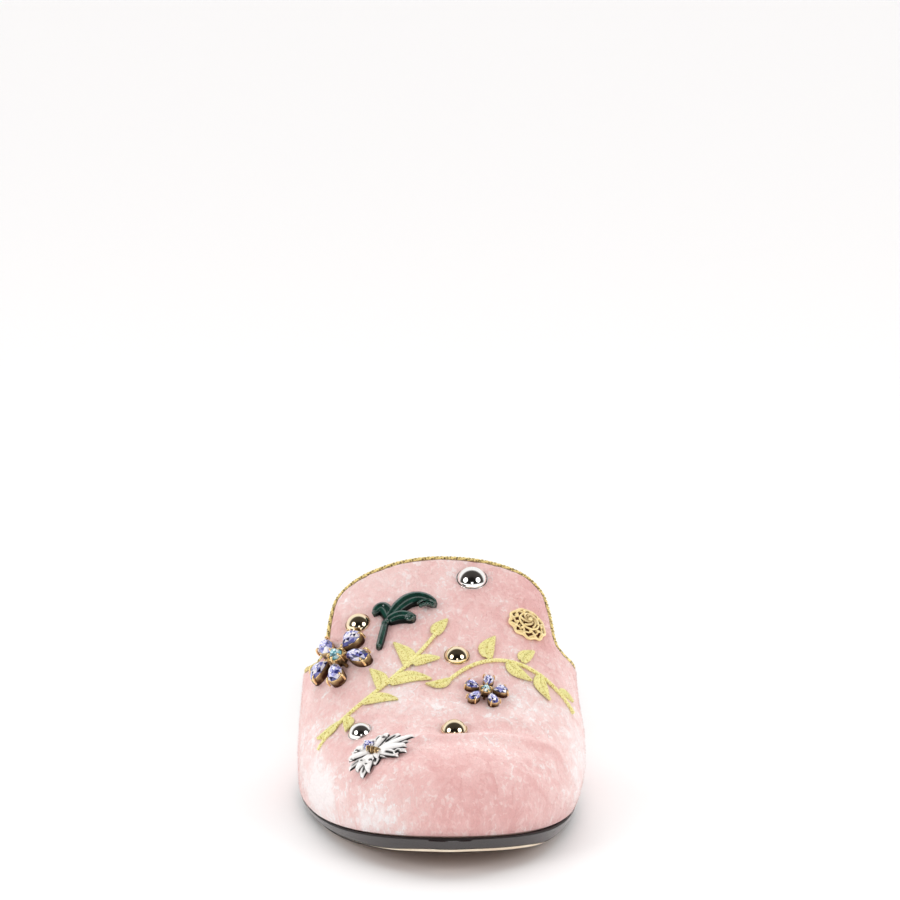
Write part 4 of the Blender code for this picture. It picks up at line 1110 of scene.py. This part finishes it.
def makeRosette():
    look = rosetteLook
    build = newBuild()
    seat = seatOnVamp(look["x"], look["back"])
    slant = math.radians(look["slant"])

    # Places on the dome, a little narrower across its slant
    def onDome(reach, angle, height=0.0):
        away = np.asarray(reach) / look["radius"]
        long, short = reach * np.cos(angle - slant), reach * np.sin(angle - slant) * look["narrow"]
        u = long * math.cos(slant) - short * math.sin(slant)
        v = long * math.sin(slant) + short * math.cos(slant)
        return drape(seat, u, v, height + look["domeFoot"] + look["dome"] * np.clip(1 - away ** 2, 0, 1))

    turn = np.linspace(0, 2 * math.pi, 121)[:-1]
    for radius, thickness, height, depth in look["rings"]:
        reach = radius * (1 - depth * (1 - np.cos(look["scallops"] * turn)) / 2)
        addTubes(build, onDome(reach, turn, height)[None], thickness, 8, closed=True, guide=seat["out"])
    sweep = np.linspace(0, 1, 14)
    arch = look["arch"] * np.sin(math.pi * sweep)
    for i in range(look["scallops"]):
        angle = 2 * math.pi * (i + chance.uniform(-0.15, 0.15)) / look["scallops"]
        for start, end, twist, thickness in look["wires"]:
            path = onDome(start + (end - start) * sweep, angle + twist * sweep, arch)
            addTubes(build, path[None], thickness, 6, guide=seat["out"], cavity=chance.uniform(0, 0.3))
        for reach, ahead, height, radius in look["beads"]:
            addBead(build, onDome(reach, angle + ahead, height), radius, seat["out"])
    count, start, end, twist, lift, thickness = look["rose"]
    for i in range(count):
        angle = 2 * math.pi * i / count
        path = onDome(start + (end - start) * sweep, angle + twist * sweep, lift + arch)
        addTubes(build, path[None], thickness, 6, guide=seat["out"], cavity=0.6 * sweep[None])
    count = look["grains"]
    reaches = look["radius"] * np.sqrt(chance.uniform(0.1, 0.85, count))
    angles = chance.uniform(0, 2 * math.pi, count)
    radii = chance.uniform(*look["grainRadius"], count)
    for reach, angle, radius in zip(reaches, angles, radii):
        addBead(build, onDome(reach, angle, -0.1), radius, seat["out"], cavity=chance.uniform(0, 0.45))
    addBead(build, onDome(0.0, 0.0, 0.8), look["middle"], seat["out"], rows=8, sides=14)
    # A dark plate under the wires: painted shade seen through the holes of the filigree
    reach = np.linspace(0.2, look["radius"] * look["plate"], 8)[:, None]
    addGrid(build, onDome(reach, turn[None, ::2], -0.5), closeV=True, cavity=1.0)
    finishMesh(build, "filigreeRosette", [paleGold], ["filigree_rosette"])


makeRosette()

# Bent blades with a shaped top, for the sprig and the brooch, with painted shade in grooves, slits, rims and
# sides
# Sizes are shares of the length along a blade and of the half width across it
bladeLook = {
    "stations": 34, "columns": 19, "underside": (0.7, 0.0, -0.7), "swell": 0.8, "endPower": 14,
    "endHeight": 0.4, "domePower": 2.4, "domeRoot": 0.55, "ridgeWidth": 0.22, "rimDark": (0.70, 0.90),
    "slitWidth": 0.32, "slitDepth": 0.3, "slitDark": 1.4, "slitStart": (0.38, 0.5), "slitEnd": (0.76, 0.9),
}


def addBlade(build, seat, spine, halfWidth, blunt, thickness, ridge=0.0, edge=0.45, tip=0.0, vein=0.0,
             base=0.0, slot=0, sideDark=1.0, under=-0.5, place=drape):
    look = bladeLook
    t = np.linspace(0, 1, look["stations"])[:, None]
    middle = bezier(*spine, look["stations"])
    along = unit(np.gradient(middle, axis=0))
    across = np.stack((-along[:, 1], along[:, 0]), -1)
    fullness = blunt + (1 - blunt) * np.sin(math.pi * t) ** look["swell"]
    ends = np.clip(1 - np.abs(2 * t - 1) ** look["endPower"], 0, 1) ** 0.5
    s = np.concatenate((np.linspace(-1, 1, look["columns"]), look["underside"]))[None, :]
    onTop = np.arange(s.size)[None, :] < look["columns"]
    dome = np.clip(1 - np.abs(s) ** look["domePower"], 0, 1) ** look["domeRoot"]
    form = edge * (np.abs(s) < 1) + (1 - edge) * dome + ridge * np.exp(-(s / look["ridgeWidth"]) ** 2)
    slit = vein * np.exp(-(s / look["slitWidth"]) ** 2)
    slit = slit * blendStep(t, *look["slitStart"]) * (1 - blendStep(t, *look["slitEnd"]))
    thick = thickness * (look["endHeight"] + (1 - look["endHeight"]) * fullness)
    lift = (thick * (form - look["slitDepth"] * slit) + base + tip * t ** 3) * ends
    height = np.where(onTop, lift, under + base * ends)
    spread = halfWidth * fullness * ends * s
    u, v = (middle[:, axis, None] + across[:, axis, None] * spread for axis in (0, 1))
    points = place(seat, u, v, height)
    # Painted shade: darker in the grooves and slits, toward the rims, and on the sides and underside
    dark = np.clip(0.5 - form, 0, 1) + blendStep(np.abs(s), *look["rimDark"]) + look["slitDark"] * slit
    hollow = np.clip(np.where(onTop, dark, sideDark), 0, 1)
    addGrid(build, points, closeV=True, slot=slot, cavity=hollow)
    for row in (points[0], points[-1]):
        addFan(build, row, row.mean(0), slot=slot, cavity=0.5)


# A wire coiled inwards about a spot beside the seat, from one turn to another
def addCurl(build, seat, u, v, radius, turns, inner, height, thickness, sides, place):
    count = np.shape(turns)[0]
    reach = radius * np.linspace(1.0, inner, count)
    path = place(seat, u + reach * np.cos(turns), v + reach * np.sin(turns), height)
    addTubes(build, path[None], thickness, sides, guide=seat["out"])


sprigLook = {
    "x": -15.3, "back": 86.6,
    # Start, bend and end to the right and up of the seat, half width, blunt ends, thickness, ridge, tip
    "blades": (
        ((-4.5, -11.9), (-3.0, -6.0), (-1.5, 0.6), 1.20, 0.85, 1.8, 0.15, 0.0),
        ((-0.6, -0.6), (-1.3, 9.8), (-5.2, 3.6), 2.45, 0.35, 1.9, -0.30, 0.3),
        ((-1.2, 0.0), (7.6, 14.7), (14.2, 5.4), 2.70, 0.50, 2.2, -0.26, 0.4),
        ((-1.2, -0.6), (3.6, 3.2), (7.2, -0.8), 2.45, 0.60, 2.0, -0.22, 0.3),
    ),
    # Rolled leaf ends: middle and radius of the roll
    "rolls": ((6.0, -0.4, 1.75), (-4.9, 3.5, 0.9)),
    # Rolled lip of the long leaf, and grains under it with their shift, rise and radius
    "lip": ((8.6, 5.0), (11.4, 8.3), (14.0, 4.9)), "lipRise": 2.3, "lipRadius": 0.34,
    "lipGrains": 5, "lipGrain": (0.1, -1.3, 1.7, 0.72),
    # Knuckles where the leaves meet: middle and radius
    "knuckles": ((-2.4, -1.7, 0.62), (-1.2, -1.2, 0.7), (-2.0, -2.9, 0.5)), "knuckleRise": 1.6,
    "deep": (0.002, 0.030, 0.020, 1), "light": (0.005, 0.060, 0.042, 1), "hollow": (0.001, 0.003, 0.003, 1),
}


def makeEnamel():
    look = sprigLook
    finish, tree, shader = newFinish("greenEnamel", {"Roughness": 0.3, "Specular IOR Level": 0.1,
                                                   "Coat Roughness": 0.03, "Coat IOR": 1.9})
    cloud = shaped(tree, (1, 1, 1), {"Scale": 420.0, "Detail": 3.0})
    colour = mixColour(tree, ramp(tree, cloud, ((0.4, 0.0), (0.65, 1.0))), look["deep"], look["light"])
    # Painted shade: the cavity mark darkens the enamel to the hollow colour and takes its coat away
    paintedShadeAmount = calc(tree, "MULTIPLY", attribute(tree, "cavity"), 0.95)
    tree.links.new(calc(tree, "SUBTRACT", 1.0, paintedShadeAmount), shader.inputs["Coat Weight"])
    wire(tree, shader, {"Base Color": mixColour(tree, paintedShadeAmount, colour, look["hollow"])}, [(cloud, 0.2, 0.2)])
    return finish


def makeSprig():
    look = sprigLook
    build = newBuild()
    seat = seatOnVamp(look["x"], look["back"])
    for *spine, halfWidth, blunt, thickness, ridge, tip in look["blades"]:
        addBlade(build, seat, spine, halfWidth, blunt, thickness, ridge, tip=tip)
    turns = np.linspace(0.4, 2.1 * math.pi, 26)
    for u, v, radius in look["rolls"]:
        thickness = np.linspace(0.3, 0.6 / 1.4, 26)[None] * radius
        addCurl(build, seat, u, v, radius, turns, 0.25, np.linspace(1.2, 2.2, 26), thickness, 8, drape)
        addBead(build, drape(seat, u, v, 2.1), radius * 0.42, seat["out"])
    lip = drape(seat, *bezier(*look["lip"], 24).T, look["lipRise"])
    addTubes(build, lip[None], look["lipRadius"], 8, guide=seat["out"])
    aside, below, rise, radius = look["lipGrain"]
    for u, v in bezier(*look["lip"], look["lipGrains"] + 2)[1:-1]:
        addBead(build, drape(seat, u + aside, v + below, rise), radius, seat["out"])
    for u, v, radius in look["knuckles"]:
        addBead(build, drape(seat, u, v, look["knuckleRise"]), radius, seat["out"])
    finishMesh(build, "enamelSprig", [makeEnamel()], ["leaf_sprig"])


broochLook = {
    "x": -19.9, "back": 27.2, "rise": 0.9, "tilt": 12, "turn": -15, "thickness": 0.9,
    # End of each lobe to the right and up of the body, half width, slit and lift
    "lobes": (
        (2.0, 6.7, 1.4, 0.9, 0.2), (4.6, 6.3, 1.5, 0.0, 0.6), (8.2, 5.2, 1.5, 1.0, 0.1),
        (12.8, 2.6, 1.3, 0.0, 0.5), (11.0, 1.3, 1.4, 0.8, 0.1), (10.8, -1.1, 1.5, 0.0, 0.6),
        (10.9, -3.2, 1.3, 1.0, 0.2), (8.4, -4.7, 1.6, 0.9, 0.6), (4.6, -3.6, 1.6, 0.0, 0.2),
        (-6.0, 3.0, 1.4, 0.0, 0.5), (-7.2, 1.4, 1.5, 0.9, 0.1), (-7.8, -1.5, 1.5, 0.0, 0.6),
        (-7.4, -5.3, 1.2, 0.6, 0.1), (-4.5, -7.0, 1.5, 0.0, 0.5), (-2.6, -10.2, 1.5, 0.9, 0.2),
        (-0.6, -8.6, 1.5, 0.0, 0.6), (1.0, -5.8, 1.5, 1.0, 0.1), (1.7, -3.7, 1.2, 0.0, 0.5),
    ),
    "lobeStart": 0.8, "lobeBend": (0.55, 0.9), "lobeBlunt": 0.4, "lobeEdge": 0.5, "lobeTip": 0.3,
    # Wire curls on the lobes, each around a dark bead of painted shade for a hollow: middle and radius
    "curls": ((8.3, -3.6, 1.3), (3.3, 4.3, 1.1), (-0.2, -4.3, 1.0), (-1.4, -5.6, 0.9), (-3.2, -3.6, 0.8),
              (-5.2, 1.4, 0.8), (-6.5, -2.1, 0.7)),
    "curlRise": 1.6, "shadeBeadRise": 1.2, "wire": 0.24,
    # Gold body with ribs over it: half width, blunt ends and thickness, reach and rise of a rib
    "body": ((-1.4, 1.2), (0.3, 0.3), (2.0, -1.0)), "bodySize": (0.75, 0.6, 2.0),
    "ribs": 6, "ribReach": (0.45, 0.8), "ribRise": (0.4, 2.0),
    # Stone: place, radius, scale, base and crown
    "stone": (-1.5, 2.7), "stoneRadius": 1.8, "stoneSize": (0.85, 0.5, 2.9), "cupHeight": 1.5,
    "claws": (0.1, 0.35, 0.6, 0.85),
}


# A flat seat for a stiff plate: raised, tilted to face further forward, and turned in its plane
def plateSeat(seat, rise, tilt, turn):
    tilt, turn = math.radians(tilt), math.radians(turn)
    high = seat["up"] * math.cos(tilt) + seat["out"] * math.sin(tilt)
    out = seat["out"] * math.cos(tilt) - seat["up"] * math.sin(tilt)
    right = seat["right"] * math.cos(turn) + high * math.sin(turn)
    up = high * math.cos(turn) - seat["right"] * math.sin(turn)
    return {"origin": seat["origin"] + seat["out"] * rise, "right": right, "up": up, "out": out}


def makeBrooch():
    look = broochLook
    build = newBuild()
    seat = plateSeat(seatOnVamp(look["x"], look["back"]), look["rise"], look["tilt"], look["turn"])
    bendAlong, bendAside = look["lobeBend"]
    for endU, endV, halfWidth, slit, lift in look["lobes"]:
        end = np.array((endU, endV))
        along = unit(end)
        across = np.array((-along[1], along[0])) * (1 if endU > 0 else -1)
        spine = (along * look["lobeStart"], end * bendAlong + across * bendAside, end)
        addBlade(build, seat, spine, halfWidth, look["lobeBlunt"], look["thickness"], edge=look["lobeEdge"],
                 vein=slit, base=lift, tip=look["lobeTip"], sideDark=0.15, under=-0.1, place=onSeat)
    addBlade(build, seat, look["body"], *look["bodySize"], slot=1, place=onSeat)
    arch = np.linspace(0, math.pi, 12)
    reachU, reachV = look["ribReach"]
    foot, rise = look["ribRise"]
    for i, (u, v) in enumerate(bezier(*look["body"], look["ribs"])):
        path = onSeat(seat, u + reachU * np.cos(arch), v + reachV * np.cos(arch), foot + rise * np.sin(arch))
        addTubes(build, path[None], look["wire"], 6, guide=seat["up"], slot=1, cavity=0.25 + 0.5 * (i % 2))
    turns = np.linspace(0, 1.7 * math.pi, 24)
    for u, v, radius in look["curls"]:
        addCurl(build, seat, u, v, radius, turns, 0.55, look["curlRise"], look["wire"], 6, onSeat)
        addBead(build, onSeat(seat, u, v, look["shadeBeadRise"]), radius * 0.6, seat["out"], cavity=1.0)
    cup = roundOutline(look["stone"], look["stoneRadius"] * 1.02, 32)
    addCup(build, seat, cup, 1.0, look["cupHeight"], look["claws"], onSeat)
    finishMesh(build, "wingedBrooch", [satinSilver, agedGold], ["winged_brooch"])
    stone = newBuild()
    outline = roundOutline(look["stone"], look["stoneRadius"] * 0.98, 8)
    addStone(stone, seat, outline, *look["stoneSize"], onSeat)
    finishMesh(stone, "broochStone", [violetGlass], ["winged_brooch_stone"], smooth=False)


makeSprig()
makeBrooch()

# Gold-thread leaf sprays on the vamp, in plain satin stitch
stemLook = {"strands": 3, "pitch": 3.0, "strandRadius": 0.36, "twistRadius": 0.324, "step": 0.4, "sides": 6,
            "beadStep": 0.5, "shade": 0.2, "rise": 0.45}
sprayLook = {
    "thread": 0.19, "spacing": 0.31, "slant": 0.10, "pad": 0.55, "foot": 0.05,
    "tipWidth": 0.12, "loose": 0.03,
    # Start, bend and end of each stem in the plan
    "stems": (((-37, 50), (-15, 58), (-1, 82)), ((2, 61.5), (16, 79), (40, 66))),
    # x, back, angle, length, half width and bend of each leaf
    "leaves": (
        (-24.5, 56.2, -12, 11.5, 2.1, 0.15), (-16.5, 61.3, 3, 13.5, 2.5, 0.18),
        (-9.0, 68.4, 18, 9.0, 2.0, 0.15), (-18.5, 59.8, 102, 10.5, 2.1, -0.15),
        (-10.2, 67.2, 108, 12.5, 2.4, -0.15), (-2.0, 80.0, 62, 8.5, 2.0, 0.1),
        (-30.5, 52.9, 172, 9.0, 1.9, 0.15), (-29.0, 53.6, 262, 7.0, 1.7, 0.15),
        (14.5, 70.8, 82, 11.0, 2.3, 0.15), (24.5, 72.2, 66, 8.0, 2.0, 0.12),
        (20.0, 71.9, -38, 10.5, 2.2, -0.12), (30.0, 70.9, -62, 11.0, 2.2, -0.12),
        (35.5, 68.9, 18, 6.5, 1.6, 0.1), (3.0, 62.4, 196, 8.0, 1.8, 0.15),
    ),
}


def addLeaf(build, x, back, angle, length, halfWidth, bend):
    look = sprayLook
    seat = seatOnVamp(x, back)
    along = np.array((math.cos(math.radians(angle)), math.sin(math.radians(angle))))
    across = np.array((-along[1], along[0]))
    count = int(length / look["spacing"])
    t = np.linspace(0.02, 0.97, count)[:, None, None]
    q = np.linspace(0, 1, 6)[None, :, None]
    for sign in (-1, 1):
        far = np.clip(t + look["slant"] * q, 0, 1)
        spine = along * length * far + across * bend * length * (4 * far * (1 - far))
        width = halfWidth * np.sin(math.pi * far ** 0.85) ** 0.8 + look["tipWidth"]
        flat = spine + sign * across * width * q + chance.normal(0, look["loose"], (count, 1, 2))
        height = look["foot"] + look["pad"] * np.sin(math.pi * (0.12 + 0.88 * q[..., 0])) ** 0.7
        paths = drape(seat, flat[..., 0], flat[..., 1], height)
        turns = np.linspace(0, 6, 6)[None] + chance.random((count, 1))
        shades = chance.random((count, 1))
        addTubes(build, paths, look["thread"], 5, guide=seat["out"], turn=turns, strand=shades)


def makeSprays():
    build = newBuild()
    for stem in sprayLook["stems"]:
        plan = resample(bezier(*stem, 80), stemLook["step"])
        normal = upperNormal(plan[:, 0], plan[:, 1])
        onVelvet = np.concatenate((plan, upperHeight(plan[:, 0], plan[:, 1])[:, None]), 1)
        path = onVelvet + normal * stemLook["rise"]
        along = unit(np.gradient(path, axis=0))
        addTwist(build, path, normal, np.cross(along, normal), stemLook)
    for leaf in sprayLook["leaves"]:
        addLeaf(build, *leaf)
    finishMesh(build, "goldSprays", [goldThread])


makeSprays()

# Floor, lights and camera
stageLook = {
    "floor": (0.91, 0.92, 0.92), "floorShade": 0.985, "top": 3.0, "topTilt": -71, "topAngle": 120,
    "aim": (0, -0.06, 0.03),
    # The room's soft light behind and in front of the shoe, and what the camera sees behind the floor
    "roomBack": (0.82, 0.82, 0.82), "roomFront": (0.44, 0.365, 0.355), "backdrop": (1.4, 1.4, 1.4, 1),
    # Dark side of the room, seen only in gloss: its direction, and tones from its edge to its middle
    "darkWay": (0.0, -0.96, 0.28),
    "darkTones": ((0.40, (1.0, 1.0, 1.0)), (0.47, (0.30, 0.29, 0.28)), (0.52, (0.07, 0.065, 0.06)),
                  (0.86, (0.05, 0.045, 0.042)), (0.95, (0.012, 0.011, 0.010))),
    # Place, size and power of each round lamp
    "lamps": {"keyLight": ((-0.72, -0.58, 0.46), 0.56, 2.8), "fillLight": ((0.72, -0.58, 0.46), 0.56, 2.6),
              "lowLight": ((0.06, -1.15, 0.22), 0.30, 0.5)},
}


def makeFloor():
    bpy.ops.mesh.primitive_plane_add(size=8, location=(0, 0, -0.0002))
    floor = bpy.context.object
    floor.name = "studioFloor"
    finish, tree, shader = newFinish("palePaper", {"Roughness": 0.8, "Specular IOR Level": 0.2})
    grain = shaped(tree, (1, 1, 1), {"Scale": 300.0, "Detail": 3.0})
    pale = stageLook["floor"]
    shade = tuple(part * stageLook["floorShade"] for part in pale)
    wire(tree, shader, {"Base Color": mixColour(tree, grain, (*pale, 1), (*shade, 1))}, [])
    floor.data.materials.append(finish)


def makeRoom():
    look = stageLook
    world = bpy.data.worlds.new("studio")
    bpy.context.scene.world = world
    world.use_nodes = True
    sky = world.node_tree
    ways = {0: addNode(sky, "TexCoord").outputs["Generated"], 1: tuple(unit(np.array(look["darkWay"])))}
    facing = addNode(sky, "VectorMath", ways, operation="DOT_PRODUCT").outputs["Value"]
    facing = calc(sky, "ADD", calc(sky, "MULTIPLY", facing, 0.5), 0.5)  # from 0 to 1
    softRoom = ramp(sky, facing, ((0.5, look["roomBack"]), (0.8, look["roomFront"])))
    rays = addNode(sky, "LightPath").outputs
    shade = mixColour(sky, rays["Is Glossy Ray"], softRoom, ramp(sky, facing, look["darkTones"]))
    seen = mixColour(sky, rays["Is Camera Ray"], shade, look["backdrop"])
    sky.links.new(seen, sky.nodes["Background"].inputs["Color"])


def addLight(name, kind, **settings):
    light = bpy.data.lights.new(name, kind)
    for key, value in settings.items():
        setattr(light, key, value)
    holder = bpy.data.objects.new(name, light)
    bpy.context.collection.objects.link(holder)
    return holder


def makeLights():
    look = stageLook
    top = addLight("topLight", "SUN", energy=look["top"], angle=math.radians(look["topAngle"]))
    top.rotation_euler = (math.radians(look["topTilt"]), 0, 0)
    top.visible_glossy = False
    for name, (spot, size, power) in look["lamps"].items():
        lamp = addLight(name, "AREA", shape="DISK", size=size, energy=power)
        lamp.location = spot
        lamp.rotation_euler = (Vector(look["aim"]) - Vector(spot)).to_track_quat("-Z", "Y").to_euler()


# The camera looks over the shoe, so that it sits low in the picture as in the photo
cameraLook = {"target": (-shoe["middleX"] * mm, -0.055, 0.02), "turn": 0.5, "height": 16.0, "distance": 1.25,
              "pixel": (441, 742), "perMm": 3.25, "picture": 900, "sensor": 36}


def lookWay(turn, rise):
    return Vector((math.sin(turn) * math.cos(rise), math.cos(turn) * math.cos(rise), math.sin(rise)))


def makeCamera():
    look = cameraLook
    focal = look["perMm"] * look["distance"] / mm
    turn, height = math.radians(look["turn"]), math.radians(look["height"])
    camera = bpy.data.objects.new("camera", bpy.data.cameras.new("camera"))
    bpy.context.collection.objects.link(camera)
    camera.location = Vector(look["target"]) - lookWay(turn, -height) * look["distance"]
    heading = turn + math.atan((look["picture"] / 2 - look["pixel"][0]) / focal)
    pitch = -height + math.atan((look["pixel"][1] - look["picture"] / 2) / focal)
    camera.rotation_euler = lookWay(heading, pitch).to_track_quat("-Z", "Y").to_euler()
    camera.data.sensor_width = look["sensor"]
    camera.data.lens = focal * look["sensor"] / look["picture"]
    camera.data.clip_end = 20
    bpy.context.scene.camera = camera


makeFloor()
makeRoom()
makeLights()
makeCamera()
bpy.context.scene.view_settings.view_transform = "Standard"
print("stage and camera ready")
